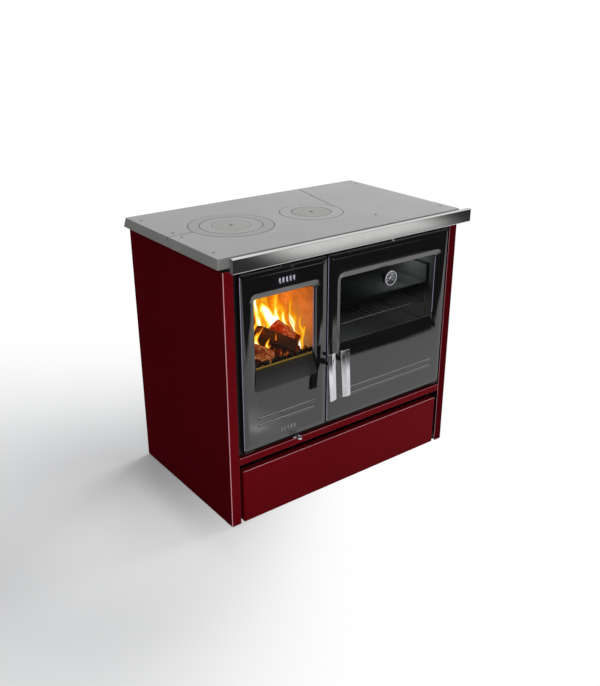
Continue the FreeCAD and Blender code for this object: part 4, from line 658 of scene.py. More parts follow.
class Finish(Enum):
    """Every finish on the cooker, by its plain name."""

    BURGUNDY = Enamel("burgundy_enamel", srgb("6a0610"), 0.34, 0.02)
    # Painted shade: a darker copy of the burgundy enamel for the sides of the cooker.
    BURGUNDY_PAINTED_SHADE = Enamel("burgundy_enamel_painted_shade", srgb("4b070e"), 0.45, 0.0)
    # Broken burgundy edges are lighter, partly where the enamel runs thin and partly as a painted
    # highlight.
    BURGUNDY_THIN_EDGE_AND_HIGHLIGHT = Enamel("burgundy_thin_edge_and_highlight", srgb("8c2a34"), 0.3, 0.3)
    # Painted highlight: a pale copy of the burgundy enamel on edges and faces that look the lit
    # way.
    BURGUNDY_PAINTED_HIGHLIGHT = Enamel("burgundy_enamel_painted_highlight", srgb("e09aa4"), 0.3, 0.5)
    BLACK_ENAMEL = Enamel("black_enamel", srgb("111112"), 0.05, 0.85, 0.1, 0.012)
    # Painted highlight: a lighter grey on the broken front edges of the black doors.
    BLACK_EDGE_HIGHLIGHT = Enamel("black_enamel_edge_painted_highlight", srgb("2c2b2e"), 0.14, 1.0, 0.1, 0.0)
    # Painted reflection: a grey copy of the black enamel on the ramp over each window.
    BLACK_RAMP_REFLECTION = Enamel("black_enamel_ramp_painted_reflection", srgb("5c5a56"), 0.12, 0.6, 0.1, 0.0)
    # Painted highlight: a light grey on the upper face of the door's upper rib.
    RIB_PAINTED_HIGHLIGHT = Enamel("black_enamel_rib_painted_highlight", srgb("8a8a8c"), 0.3, 0.6, 0.1, 0.0)
    # Painted highlight: near-white lilac on the left-facing walls of the upper air slots.
    UPPER_SLOT_HIGHLIGHT = Enamel("upper_slot_wall_painted_highlight", srgb("f6eeff"), 0.4, 0.5, 0.0, 0.0)
    # Painted highlight: light grey on the left-facing walls of the lower air holes.
    LOWER_SLOT_HIGHLIGHT = Enamel("lower_slot_wall_painted_highlight", srgb("c2c2c4"), 0.4, 0.5, 0.0, 0.0)
    # Painted reflection and painted firelight on the ramp below each window, gold at its upper rim.
    PAINTED_FIRELIGHT_RAMP = PaintedFirelightEnamel("enamel_painted_firelight", (0.44, 0.5085), (
        (0.0, srgb("353435")), (0.6, srgb("2a2929")), (0.86, srgb("2e2a1c")),
        (0.93, srgb("8a6a12")), (1.0, srgb("d8a826"))))
    # Painted highlight: lilac on the doors' front edges that face left.
    LILAC_EDGE_HIGHLIGHT = Enamel("enamel_painted_edge_highlight", srgb("b8a8cc"), 0.25, 0.8, 0.05, 0.0)
    MATT_BLACK = PaintedMatt("matt_black_paint", srgb("0d0d0f"))
    HOB = MachinedIron("machined_hob_iron", srgb("acaaaa"))
    SKIRT = MachinedIron("machined_hob_skirt", srgb("8f8e8c"))
    SKIRT_EDGE = MachinedIron("machined_hob_edge", srgb("9d9c9a"))
    # Painted shade: dark grey on the inner rings' broken edges, in the gaps between them, and on
    # the walls of the plate's slit.
    RING_EDGE_SHADE = MachinedIron("ring_edge_painted_shade", srgb("6e6d6b"))
    # Painted shade: near black on the broken edges of the outer rings, in the gap to the plate.
    RING_RIM_SHADE = MachinedIron("ring_rim_painted_shade", srgb("1c1b1a"))
    # Painted shade: near black on the walls in the gaps between the plate and the rings.
    GAP_SHADE = PaintedMatt("iron_gap_painted_shade", srgb("161514"), 0.8)
    LARGE_OUTER = TurnedIron("turned_large_outer_ring", srgb("a5a3a3"), (-0.243, 0.0, 0.85))
    LARGE_MIDDLE = TurnedIron("turned_large_middle_ring", srgb("a9a8a7"), (-0.243, 0.0, 0.85))
    LARGE_LID = TurnedIron("turned_large_lid", srgb("a4a3a0"), (-0.243, 0.0, 0.85))
    SMALL_RING = TurnedIron("turned_small_ring", srgb("acabab"), (0.05, -0.015, 0.85))
    SMALL_LID = TurnedIron("turned_small_lid", srgb("a19f9b"), (0.05, -0.015, 0.85))
    SCREWS = PolishedSteel("zinc_screws", srgb("6e6d6c"), 0.3)
    RAIL = BrushedSteel("brushed_rail_steel", srgb("d4d4d2"), 0.09)
    # Painted highlight: bright white steel on the rail's top and left front edges.
    RAIL_EDGE_HIGHLIGHT = PolishedSteel("rail_edge_painted_highlight", srgb("ffffff"), 0.18, 1.0)
    # Painted shade: a dull grey on the rail's left end, its underside and its other broken edges.
    RAIL_SHADE = PaintedMatt("rail_painted_shade", srgb("5c5a60"), 0.5)
    SPOON = PolishedSteel("bright_spoon_steel", srgb("d8d8da"), 0.25)
    POLISHED = PolishedSteel("polished_steel", srgb("d0d0d4"))
    # Painted reflection: the chromed ring is given a near-white, mostly non-metal colour for what
    # its chrome reflects.
    CHROME = PolishedSteel("chrome_ring_painted_reflection", srgb("f4f4f8"), 0.3, 0.2)
    SLIDE = ZincSheet("bright_slide_steel", srgb("dcd6e6"), 0.5, 0.0)
    ZINC = ZincSheet("galvanised_sheet", srgb("9da0a2"))
    BOILER = PaintedMatt("heat_darkened_steel", srgb("2c2a28"), 0.6)
    GRATE = PaintedMatt("rough_grate_iron", srgb("2a2724"), 0.75)
    BRICK = FiredClay("firebrick", srgb("c2a680"))
    OVEN = Enamel("dark_oven_enamel", srgb("3a3b3c"), 0.35, 0.5, 0.15)
    ROPE = RopeSeal("glass_fibre_rope", srgb("3a3a3a"))
    FIREBOX_GLASS = Pane("firebox_pane_glass", (0.98, 0.95, 0.9), 1.05)
    OVEN_GLASS = Pane("oven_pane_glass", (0.4, 0.42, 0.4), 1.15)
    POINTER = PaintedMatt("pointer_paint", srgb("f2f2f2"), 0.35)
    DIAL = PaintedMatt("dial_face_paint", srgb("3a3a44"), 0.5)
    SCALE = PaintedMatt("dial_scale_paint", srgb("f4f4f4"), 0.5)
    CHAR_DARK = BurningWood("charred_log", (0.03, 0.013, 0.006), 0.6, 0.12, 0.1)
    CHAR_RED = BurningWood("glowing_log", (0.22, 0.008, 0.001), 0.13, 0.95, 0.01)
    CHAR_END = BurningWood("smouldering_log", (0.13, 0.007, 0.001), 0.16, 0.7, 0.01)
    COALS = BurningWood("glowing_coals", (0.05, 0.01, 0.005), 0.35, 0.6, 0.08)
    FLAME = Flame("flame", 1.0)
    FLAME_BACK = Flame("flame_behind", 0.8, 0.4)


class Wardrobe:
    """Builds each finish once and hands it out."""

    def __init__(self) -> None:
        """Start with nothing built."""
        self.built: Dict[Finish, bpy.types.Material] = {}

    def get(self, finish: Finish) -> bpy.types.Material:
        """The material of a finish.

        Args:
            finish: the finish.

        Returns:
            Its material, always the same one.
        """
        if finish not in self.built:
            self.built[finish] = finish.value.material()
        return self.built[finish]


WARDROBE = Wardrobe()

NODE_FINISH: Dict[str, Finish] = {
    **dict.fromkeys(("left_side_panel", "right_side_panel"), Finish.BURGUNDY_PAINTED_SHADE),
    **dict.fromkeys(("trim_strip", "drawer_front"), Finish.BURGUNDY),
    **dict.fromkeys(("firebox_door", "oven_door"), Finish.BLACK_ENAMEL),
    # The corner posts are zinc sheet; their matt black here is painted shade.
    **dict.fromkeys(("front_fascia", "hob_support_frame", "flue_collar", "levelling_feet",
                     "firebox_door_liner", "oven_door_liner", "firebox_latch", "oven_latch",
                     "door_hinges", "thermometer_case", "base_tray", "corner_posts"),
                    Finish.MATT_BLACK),
    "hob_plate": Finish.HOB,
    "large_outer_ring": Finish.LARGE_OUTER,
    "large_middle_ring": Finish.LARGE_MIDDLE,
    "large_lid": Finish.LARGE_LID,
    "small_ring": Finish.SMALL_RING,
    "small_lid": Finish.SMALL_LID,
    "hob_screws": Finish.SCREWS,
    "towel_rail": Finish.RAIL,
    **dict.fromkeys(("primary_air_slide", "secondary_air_slide"), Finish.SLIDE),
    **dict.fromkeys(("rail_brackets", "draught_damper", "firebox_handle", "oven_handle",
                     "oven_shelf", "oven_side_racks"), Finish.POLISHED),
    **dict.fromkeys(("side_rails", "deck_plate", "rear_panel",
                     "drawer_box", "runner_outer", "runner_middle", "runner_inner",
                     "firebox_glass_clips", "oven_glass_clips", "latch_strikes"),
                    Finish.ZINC),
    **dict.fromkeys(("firebox_shell", "ash_pan", "flue_chamber", "flue_baffle", "rear_duct"),
                    Finish.BOILER),
    **dict.fromkeys(("fire_grate", "log_guard"), Finish.GRATE),
    **dict.fromkeys(("firebrick_sides", "firebrick_rear"), Finish.BRICK),
    **dict.fromkeys(("oven_box", "baking_tray"), Finish.OVEN),
    **dict.fromkeys(("firebox_door_seal", "oven_door_seal"), Finish.ROPE),
    "firebox_glass": Finish.FIREBOX_GLASS,
    "oven_glass": Finish.OVEN_GLASS,
    "thermometer_needle": Finish.POINTER,
}


def dress(mesh: bpy.types.Mesh, *finishes: Finish) -> None:
    """Give a mesh its finishes.

    Args:
        mesh: the mesh.
        finishes: the first for all its faces, the others for marked ones.
    """
    mesh.materials.clear()
    for finish in finishes:
        mesh.materials.append(WARDROBE.get(finish))


def dress_nodes() -> None:
    """Give every node of the solid model its finish."""
    for name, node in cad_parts.items():
        dress(node.data, NODE_FINISH[name])
        LOG.info("dressed %s", name)


def settle(thing: Thing, body: Body) -> Thing:
    """Let a piece ride on its body.

    Args:
        thing: the finished piece.
        body: what it moves with.

    Returns:
        The piece.
    """
    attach(thing, body.value)
    LOG.info("piece %s rides on %s", thing.name, body.value)
    return thing


def new_thing(name: str, mesh: bpy.types.Mesh) -> Thing:
    """Put a mesh into the scene as an object at the origin.

    Args:
        name: name of the object.
        mesh: its mesh.

    Returns:
        The object.
    """
    thing = bpy.data.objects.new(name, mesh)
    bpy.context.scene.collection.objects.link(thing)
    return thing


def present(mesh: bpy.types.Mesh, finish: Finish, body: Body) -> Thing:
    """Make a mesh a piece of the cooker, under its own name and in one finish."""
    dress(mesh, finish)
    return settle(new_thing(mesh.name, mesh), body)


def mesh_from(name: str, points: np.ndarray, faces: Sequence[Sequence[int]],
              smooth: bool = True) -> bpy.types.Mesh:
    """A mesh from an array of points and a list of faces.

    Args:
        name: name of the mesh.
        points: array of n rows of x, y and z.
        faces: rows of point numbers, all of one length or mixed.
        smooth: whether its faces are shaded as one curved surface.

    Returns:
        The mesh.
    """
    mesh = bpy.data.meshes.new(name)
    mesh.from_pydata(points.tolist(), [], [list(map(int, face)) for face in faces])
    mesh.polygons.foreach_set("use_smooth", np.full(len(mesh.polygons), smooth))
    mesh.update()
    return mesh


def grid_faces(rows: int, columns: int, closed: bool = False) -> np.ndarray:
    """Quads over a grid of points that are numbered row by row.

    The quad at row r and column c joins the points r n + c, r n + c + 1 and the two above them,
    where n is the number of columns.

    Args:
        rows: number of rows.
        columns: number of columns.
        closed: whether the last column is joined to the first.

    Returns:
        Rows of four point numbers.
    """
    row = np.arange(rows - 1)[:, None]
    column = np.arange(columns if closed else columns - 1)[None, :]
    ahead = (column + 1) % columns
    corners = (row * columns + column, row * columns + ahead, (row + 1) * columns + ahead,
               (row + 1) * columns + column)
    quads = np.stack([np.broadcast_to(c, (rows - 1, column.size)) for c in corners], -1)
    return quads.reshape(-1, 4)


def tidy_faces(mesh: bpy.types.Mesh, join: float = 0.002 * MM) -> None:
    """Merge a mesh's doubles and turn its faces outwards.

    Args:
        mesh: the mesh.
        join: distance up to which points are one.
    """
    work = bmesh.new()
    work.from_mesh(mesh)
    bmesh.ops.remove_doubles(work, verts=work.verts, dist=join)
    bmesh.ops.dissolve_degenerate(work, dist=join, edges=work.edges)
    bmesh.ops.recalc_face_normals(work, faces=work.faces)
    work.to_mesh(mesh)
    work.free()


def hang_lamp(name: str, kind: str, place: Sequence[float], power: float,
              colour: Colour = (1.0, 1.0, 1.0), aim: Optional[Point] = None,
              **settings: object) -> None:
    """Hang a lamp whose own shape shows neither in the picture nor in a reflection.

    Args:
        name: name of the lamp.
        kind: Blender's kind of light.
        place: where it hangs.
        power: watts.
        colour: linear colour.
        aim: the point that it looks at, if it looks one way.
        settings: further properties of the light, such as its size.
    """
    data = bpy.data.lights.new(name, kind)
    data.energy, data.color = power, colour
    for key, value in settings.items():
        setattr(data, key, value)
    thing = bpy.data.objects.new(name, data)
    thing.location = place
    if aim is not None:
        look = Vector(aim) - Vector(place)
        thing.rotation_euler = look.to_track_quat("-Z", "Y").to_euler()
    for ray in ("camera", "glossy", "transmission", "volume_scatter"):
        setattr(thing, f"visible_{ray}", False)
    bpy.context.scene.collection.objects.link(thing)


# Copies of the solid model's own sheets and castings with their edges broken
LEFT, RIGHT, FRONT, BACK = (-1.0, 0.0, 0.0), (1.0, 0.0, 0.0), (0.0, -1.0, 0.0), (0.0, 1.0, 0.0)
TOP, UNDER = (0.0, 0.0, 1.0), (0.0, 0.0, -1.0)
LIT_EDGE, FIRST_PATCH = 2, 3  # numbers of finishes on a softened mesh


@dataclass(frozen=True)
class Patch:
    """Faces that take another finish: those inside a box that look one way."""

    finish: Finish
    toward: Point = (0.0, 0.0, 0.0)
    spread: float = 30.0
    low: Point = (-FAR, -FAR, -FAR)
    high: Point = (FAR, FAR, FAR)

    def covers(self, face: bmesh.types.BMFace) -> bool:
        """Whether a face takes this finish.

        Args:
            face: the face.

        Returns:
            True where its middle is in the box and its normal within the spread.
        """
        middle = face.calc_center_median()
        inside = all(l <= c <= h for l, c, h in zip(self.low, middle, self.high))
        aim = Vector(self.toward)
        return inside and (aim.length == 0
                           or face.normal.angle(aim, math.pi) < math.radians(self.spread))


@dataclass(frozen=True)
class Softened:
    """A node's own shape with its edges broken, so that they catch the light.

    Faces that lie flat to within some degrees are joined first. Edges steeper than the angle and
    ahead of the given depth are then broken by the width. The lit ones, which are long and lie
    between a front face and one that looks a lit way, are broken by the lit width. In the shading
    a long edge steeper than the crease stays sharp as well.

    The first three finishes of the mesh are those of the faces, of the broken edges and of the
    lit edges, and those of its patches follow. The lit edges' finish is a painted highlight.
    """

    node: str
    body: Body
    slot: str
    finish: Finish
    edge_finish: Optional[Finish] = None
    width: float = 0.7 * MM
    segments: int = 2
    angle: float = 32.0
    ahead_of: float = 1.0
    lit: Tuple[Point, ...] = ()
    lit_finish: Optional[Finish] = None
    lit_width: float = 1.2 * MM
    patches: Tuple[Patch, ...] = ()
    flat: float = 0.6
    merge: float = 0.01 * MM
    crease: Optional[float] = None
    crease_long: float = 60 * MM
    lit_long: float = 30 * MM
    lit_toward: float = 0.6
    front_toward: float = 0.7

    def is_lit(self, edge: bmesh.types.BMEdge) -> bool:
        """Whether an edge lies between a front face and one that looks a lit way.

        A face looks a way where the cosine between its normal and that way passes a limit.

        Args:
            edge: the edge.

        Returns:
            True for such an edge that isn't short.
        """
        if edge.calc_length() < self.lit_long:
            return False
        one, two = (face.normal for face in edge.link_faces)
        front = Vector(FRONT)
        return any(first.dot(aim) > self.lit_toward and second.dot(front) > self.front_toward
                   for aim in map(Vector, self.lit) for first, second in ((one, two), (two, one)))

    def sharp_edges(self, work: bmesh.types.BMesh) -> List[bmesh.types.BMEdge]:
        """The edges to break.

        Args:
            work: the mesh.

        Returns:
            Edges steeper than the limit and ahead of the given depth, less those already lit.
        """
        limit = math.radians(self.angle)
        return [edge for edge in work.edges if edge.is_manifold and edge.calc_face_angle() > limit
                and max(vert.co.y for vert in edge.verts) < self.ahead_of
                and all(face.material_index != LIT_EDGE for face in edge.link_faces)]

    def soften(self, work: bmesh.types.BMesh) -> None:
        """Bevel the lit edges with their own finish, then weight the other sharp ones.

        Args:
            work: the mesh.
        """
        weight = work.edges.layers.float.new("bevel_weight_edge")
        if self.lit:
            bmesh.ops.bevel(work, geom=[e for e in self.sharp_edges(work) if self.is_lit(e)],
                            offset=self.lit_width, segments=self.segments, profile=0.5,
                            affect="EDGES", material=LIT_EDGE, clamp_overlap=True)
        for edge in self.sharp_edges(work):
            edge[weight] = 1.0

    def sharpen(self, mesh: bpy.types.Mesh) -> None:
        """Mark the edges at which the shading breaks: all sharp ones, and long shallow creases.

        Args:
            mesh: the mesh.
        """
        mesh.set_sharp_from_angle(angle=math.radians(self.angle))
        if self.crease is None:
            return
        work = bmesh.new()
        work.from_mesh(mesh)
        for edge in work.edges:
            if (edge.is_manifold and edge.calc_length() > self.crease_long
                    and edge.calc_face_angle() > math.radians(self.crease)):
                edge.smooth = False
        work.to_mesh(mesh)
        work.free()

    def build(self) -> Thing:
        """Copy the node, join its flat faces, break its sharp edges and replace it.

        Returns:
            The finished piece.
        """
        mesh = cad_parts[self.node].data.copy()
        mesh.materials.clear()
        for finish in (self.finish, self.edge_finish or self.finish, self.lit_finish or self.finish,
                       *(patch.finish for patch in self.patches)):
            mesh.materials.append(WARDROBE.get(finish))
        work = bmesh.new()
        work.from_mesh(mesh)
        bmesh.ops.remove_doubles(work, verts=work.verts, dist=self.merge)
        bmesh.ops.dissolve_limit(work, angle_limit=math.radians(self.flat), verts=work.verts,
                                 edges=work.edges)
        for face in work.faces:
            face.material_index = 0
            for number, patch in enumerate(self.patches):
                if patch.covers(face):
                    face.material_index = FIRST_PATCH + number
        self.soften(work)
        work.to_mesh(mesh)
        work.free()
        mesh.polygons.foreach_set("use_smooth", np.ones(len(mesh.polygons), bool))
        self.sharpen(mesh)
        thing = new_thing(f"{self.node}_finished", mesh)
        bevel = thing.modifiers.new("broken_edges", "BEVEL")
        bevel.width, bevel.segments = self.width, self.segments
        bevel.limit_method = "WEIGHT"
        bevel.use_clamp_overlap = False
        bevel.material = 1 if self.edge_finish else -1
        normals = thing.modifiers.new("even_faces", "WEIGHTED_NORMAL")
        normals.keep_sharp = True
        settle(thing, self.body)
        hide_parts(self.node)
        return thing


@dataclass(frozen=True)
class Carcass:
    """The enamelled sides, trim strip and drawer front."""

    edge: float = 0.5 * MM
    bend: float = 1.6 * MM
    lip: float = 0.7 * MM
    broken_to: float = -0.2

    def build(self) -> None:
        """Make each sheet: painted shade on the sides, but the drawer's colour on the left one's
        front flange.
        """
        flange = Patch(Finish.BURGUNDY, FRONT, 14.0)
        for node, body, finish, lit, width, extra in (
                ("left_side_panel", Body.ROOT, Finish.BURGUNDY_PAINTED_SHADE, LEFT, self.bend, (flange,)),
                ("right_side_panel", Body.ROOT, Finish.BURGUNDY_PAINTED_SHADE, LEFT, self.lip, ()),
                ("trim_strip", Body.ROOT, Finish.BURGUNDY, TOP, self.lip, ()),
                ("drawer_front", Body.DRAWER, Finish.BURGUNDY, TOP, self.bend, ())):
            # Edges and faces that look the lit way take a pale copy of the enamel as a painted
            # highlight.
            slant = (lit[0] * 0.7, -0.7, lit[2] * 0.7)
            Softened(node, body, "burgundy_enamel", finish, Finish.BURGUNDY_THIN_EDGE_AND_HIGHLIGHT, self.edge,
                     ahead_of=self.broken_to, lit=(lit,), lit_finish=Finish.BURGUNDY_PAINTED_HIGHLIGHT,
                     lit_width=width, patches=extra + (Patch(Finish.BURGUNDY_PAINTED_HIGHLIGHT, slant),)).build()


@dataclass(frozen=True)
class Hob:
    """The machined plate with its two nested burners."""

    edge: float = 0.5 * MM
    ring_edge: float = 0.4 * MM
    outer_edge: float = 1.5 * MM
    skirt_from: Tuple[float, float] = (0.455, 0.269)
    slit: Tuple[Point, Point] = ((0.165, 0.06, -FAR), (0.3, 0.268, FAR))
    wall: float = 46.0

    def build(self) -> None:
        """Make the plate, its darker skirt and the five loose rings and lids.

        The walls of the openings are near black with painted shade, and so are those of each ring
        left of its middle.
        """
        # Painted shade in the gaps between plate and rings; on the rings only left of their
        # middles.
        shaded_walls = tuple(Patch(Finish.GAP_SHADE, way, self.wall) for way in (LEFT, RIGHT, FRONT, BACK))
        wide, deep = self.skirt_from
        skirts = (Patch(Finish.SKIRT, LEFT, 40.0, high=(-wide, FAR, FAR)),
                  Patch(Finish.SKIRT, RIGHT, 40.0, low=(wide, -FAR, -FAR)),
                  Patch(Finish.SKIRT, FRONT, 40.0, high=(FAR, -deep, FAR)),
                  Patch(Finish.SKIRT, BACK, 40.0, low=(-FAR, deep, -FAR)),
                  # The left-facing walls of the slit take painted shade.
                  Patch(Finish.RING_EDGE_SHADE, LEFT, self.wall, *self.slit))
        Softened("hob_plate", Body.ROOT, "hob_iron", Finish.HOB, Finish.SKIRT_EDGE, self.edge,
                 patches=shaded_walls + skirts).build()
        for body, finish, rim, width in (
                (Body.LARGE_OUTER, Finish.LARGE_OUTER, Finish.RING_RIM_SHADE, self.outer_edge),
                (Body.LARGE_MIDDLE, Finish.LARGE_MIDDLE, Finish.RING_EDGE_SHADE, self.ring_edge),
                (Body.LARGE_LID, Finish.LARGE_LID, Finish.RING_EDGE_SHADE, self.ring_edge),
                (Body.SMALL_RING, Finish.SMALL_RING, Finish.RING_RIM_SHADE, self.outer_edge),
                (Body.SMALL_LID, Finish.SMALL_LID, Finish.RING_EDGE_SHADE, self.ring_edge)):
            low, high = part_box(body.value)
            near = (0.5 * (low[0] + high[0]), FAR, FAR)
            Softened(body.value, body, "hob_iron", finish, rim, width,
                     patches=tuple(replace(patch, high=near) for patch in shaded_walls)).build()


@dataclass(frozen=True)
class FrontRail:
    """The flat brushed rail with a painted highlight on its top and left edges."""

    edge: float = 0.5 * MM
    lit_edge: float = 1.9 * MM

    def build(self) -> None:
        """Make the rail, with painted shade on its left end, its underside and its other broken
        edges.
        """
        Softened("towel_rail", Body.ROOT, "brushed_rail", Finish.RAIL, Finish.RAIL_SHADE, self.edge,
                 lit=(TOP, LEFT), lit_finish=Finish.RAIL_EDGE_HIGHLIGHT, lit_width=self.lit_edge,
                 patches=tuple(Patch(Finish.RAIL_SHADE, way, 40.0) for way in (LEFT, UNDER))).build()


@dataclass(frozen=True)
class Doors:
    """The two enamelled doors with their blade handles and the levers at their edges."""

    edge: float = 0.8 * MM
    lit_edge: float = 1.5 * MM
    blade_edge: float = 0.6 * MM
    front: float = -0.2715
    lever_from: float = -0.2725
    slide_edge: float = 0.2 * MM
    crease: float = 5.0
    window_top: Tuple[Point, Point] = ((-1.0, -0.2838, 0.70), (1.0, -0.262, 0.745))
    window_foot: Tuple[Point, Point] = ((-0.5, -0.5, 0.42), (-0.05, 0.0, 0.52))
    upper_rib: Tuple[Point, Point] = ((-1.0, -1.0, 0.31), (1.0, 0.0, 0.36))
    upper_slots: Tuple[Point, Point] = ((-0.285, -0.2838, 0.744), (-0.2, -0.27, 0.767))
    lower_slots: Tuple[Point, Point] = ((-0.285, -0.2838, 0.27), (-0.2, -0.27, 0.297))

    def build(self) -> None:
        """Make both doors, both handles and the two air slides, whose sheets stay sharp."""
        # Painted light on the doors: a painted reflection over each window, painted highlights on
        # the upper rib and slot walls, painted reflection and firelight below the window.
        painted_lights = (Patch(Finish.BLACK_RAMP_REFLECTION, (0.0, -0.7, -0.7), 34.0, *self.window_top),
                 Patch(Finish.RIB_PAINTED_HIGHLIGHT, (0.0, -0.6, 0.8), 38.0, *self.upper_rib),
                 Patch(Finish.UPPER_SLOT_HIGHLIGHT, LEFT, 45.0, *self.upper_slots),
                 Patch(Finish.LOWER_SLOT_HIGHLIGHT, LEFT, 60.0, *self.lower_slots),
                 Patch(Finish.PAINTED_FIRELIGHT_RAMP, (0.0, -0.99, 0.13), 4.5, *self.window_foot))
        # The left-facing front edges take a lilac painted highlight, the other broken front edges a
        # grey painted highlight.
        for body in (Body.FIREBOX_DOOR, Body.OVEN_DOOR):
            Softened(body.value, body, "black_enamel", Finish.BLACK_ENAMEL, Finish.BLACK_EDGE_HIGHLIGHT,
                     self.edge, ahead_of=self.front, lit=(LEFT,), crease=self.crease,
                     lit_finish=Finish.LILAC_EDGE_HIGHLIGHT, lit_width=self.lit_edge, patches=painted_lights).build()
        for body in (Body.FIREBOX_HANDLE, Body.OVEN_HANDLE):
            Softened(body.value, body, "polished_steel", Finish.POLISHED,
                     width=self.blade_edge).build()
        for body, finish in ((Body.PRIMARY_AIR, Finish.SPOON),
                             (Body.SECONDARY_AIR, Finish.MATT_BLACK)):
            lever = Patch(finish, high=(FAR, self.lever_from, FAR))
            Softened(body.value, body, "polished_steel", Finish.SLIDE, width=self.slide_edge,
                     ahead_of=-FAR, patches=(lever,)).build()


@dataclass(frozen=True)
class ThermometerDial:
    """The printed face of the oven thermometer: dark disc, ticks and plain numbers."""

    centre: Point = (0.155, -0.281, 0.678)
    face_radius: float = 21.4 * MM
    face_thick: float = 0.12 * MM
    tick_out: float = 20.2 * MM
    tick_in: float = 17.2 * MM
    tick_wide: float = 0.9 * MM
    ticks: int = 29
    long_each: int = 4
    sweep: float = 260.0
    number_radius: float = 12.6 * MM
    number_size: float = 6.0 * MM
    number_steps: int = 3
    longer: float = 1.6 * MM
    numbers: Tuple[int, ...] = (50, 100, 150, 200, 250, 300, 350)
    print_thick: float = 0.06 * MM
    ring_centre: Point = (0.155, -0.2853, 0.678)
    ring_radius: float = 22.3 * MM
    ring_half: float = 1.0 * MM
    ring_flat: float = 0.8
    around: int = 96
    section: int = 14

    def angles(self, count: int) -> np.ndarray:
        """So many even clockwise angles from the upright over the dial's sweep."""
        return np.radians(np.linspace(-self.sweep / 2, self.sweep / 2, count))

    def face(self) -> Thing:
        """The disc: circles of growing radius, front and back, joined at the rim.

        A point is the centre plus radius times (sin, 0, cos) of its turn.

        Returns:
            The finished disc.
        """
        turns = np.linspace(0, 2 * np.pi, self.around, endpoint=False)
        x, y, z = self.centre
        rows = [np.stack([x + radius * np.sin(turns), np.full_like(turns, y + depth),
                          z + radius * np.cos(turns)], -1)
                for radius, depth in ((0.0, 0.0), (self.face_radius, 0.0),
                                      (self.face_radius, -self.face_thick),
                                      (0.0, -self.face_thick))]
        mesh = mesh_from("thermometer_face", np.concatenate(rows),
                         grid_faces(len(rows), self.around, True), False)
        tidy_faces(mesh)
        return present(mesh, Finish.DIAL, Body.OVEN_DOOR)

    def scale(self) -> Thing:
        """Ticks as thin bars along the radius, and the numbers, all standing on the disc.

        A bar's corner is the centre plus its radius times the outward way and half its width
        times the way across. Every so many ticks one is longer.

        Returns:
            The finished print.
        """
        x, y, z = self.centre
        y -= self.face_thick
        angles = self.angles(self.ticks)
        outward = np.stack([np.sin(angles), np.zeros_like(angles), np.cos(angles)], -1)
        across = np.stack([np.cos(angles), np.zeros_like(angles), -np.sin(angles)], -1)
        inner = np.where(np.arange(self.ticks) % self.long_each == 0,
                         self.tick_in - self.longer, self.tick_in)
        outer = np.full(self.ticks, self.tick_out)
        corners = [np.array([x, y + depth, z]) + outward * reach[:, None]
                   + across * side * self.tick_wide / 2
                   for depth in (0.0, -self.print_thick)
                   for reach, side in ((inner, -1), (inner, 1), (outer, 1), (outer, -1))]
        points = np.stack(corners, 1).reshape(-1, 3)
        bar = np.array([(0, 1, 2, 3), (7, 6, 5, 4), (0, 4, 5, 1), (1, 5, 6, 2), (2, 6, 7, 3),
                        (3, 7, 4, 0)])
        faces = (bar[None] + 8 * np.arange(self.ticks)[:, None, None]).reshape(-1, 4)
        mesh = mesh_from("thermometer_scale", points, faces, False)
        whole = bmesh.new()
        whole.from_mesh(mesh)
        for number, angle in zip(self.numbers, self.angles(len(self.numbers))):
            lettering = self.number(number, (x + self.number_radius * math.sin(angle), y,
                                             z + self.number_radius * math.cos(angle)))
            whole.from_mesh(lettering)
            bpy.data.meshes.remove(lettering)
        whole.to_mesh(mesh)
        whole.free()
        tidy_faces(mesh)
        return present(mesh, Finish.SCALE, Body.OVEN_DOOR)

    def number(self, value: int, middle: Point) -> bpy.types.Mesh:
        """One number: its outline on its own plane, stood upright and carried to its place.

        Args:
            value: the number.
            middle: where its middle goes.

        Returns:
            A loose mesh.
        """
        curve = bpy.data.curves.new("dial_number", "FONT")
        curve.body = str(value)
        curve.size = self.number_size
        curve.align_x = curve.align_y = "CENTER"
        curve.extrude = self.print_thick / 2
        curve.resolution_u = self.number_steps
        holder = bpy.data.objects.new("dial_number", curve)
        bpy.context.scene.collection.objects.link(holder)
        bpy.context.view_layer.update()
        mesh = bpy.data.meshes.new_from_object(holder)
        flat = np.zeros(len(mesh.vertices) * 3)
        mesh.vertices.foreach_get("co", flat)
        flat = flat.reshape(-1, 3)
        upright = np.stack([flat[:, 0] + middle[0], middle[1] - self.print_thick / 2 - flat[:, 2],
                            flat[:, 1] + middle[2]], -1)
        mesh.vertices.foreach_set("co", upright.ravel())
        bpy.data.objects.remove(holder)
        bpy.data.curves.remove(curve)
        return mesh

    def ring(self) -> Thing:
        """The bright rim: a small flattened circle swept about the dial's centre.

        The radius is the ring's plus half its thickness times the cosine of the section's angle,
        and the depth follows the sine.

        Returns:
            The finished rim.
        """
        turns = np.linspace(0, 2 * np.pi, self.around, endpoint=False)[None, :]
        section = np.linspace(0, 2 * np.pi, self.section, endpoint=False)[:, None]
        x, y, z = self.ring_centre
        radius = self.ring_radius + self.ring_half * np.cos(section)
        points = np.stack([x + radius * np.sin(turns),
                           y + self.ring_half * self.ring_flat * np.sin(section) + 0 * turns,
                           z + radius * np.cos(turns)], -1).reshape(-1, 3)
        first = np.arange(self.around)
        ahead, last = (first + 1) % self.around, (self.section - 1) * self.around
        seam = np.stack([last + first, last + ahead, ahead, first], -1)
        faces = np.concatenate([grid_faces(self.section, self.around, True), seam])
        mesh = mesh_from("thermometer_rim", points, faces)
        tidy_faces(mesh)
        return present(mesh, Finish.CHROME, Body.OVEN_DOOR)

    def build(self) -> None:
        """Make the face, its print and its rim."""
        self.face()
        self.scale()
        self.ring()


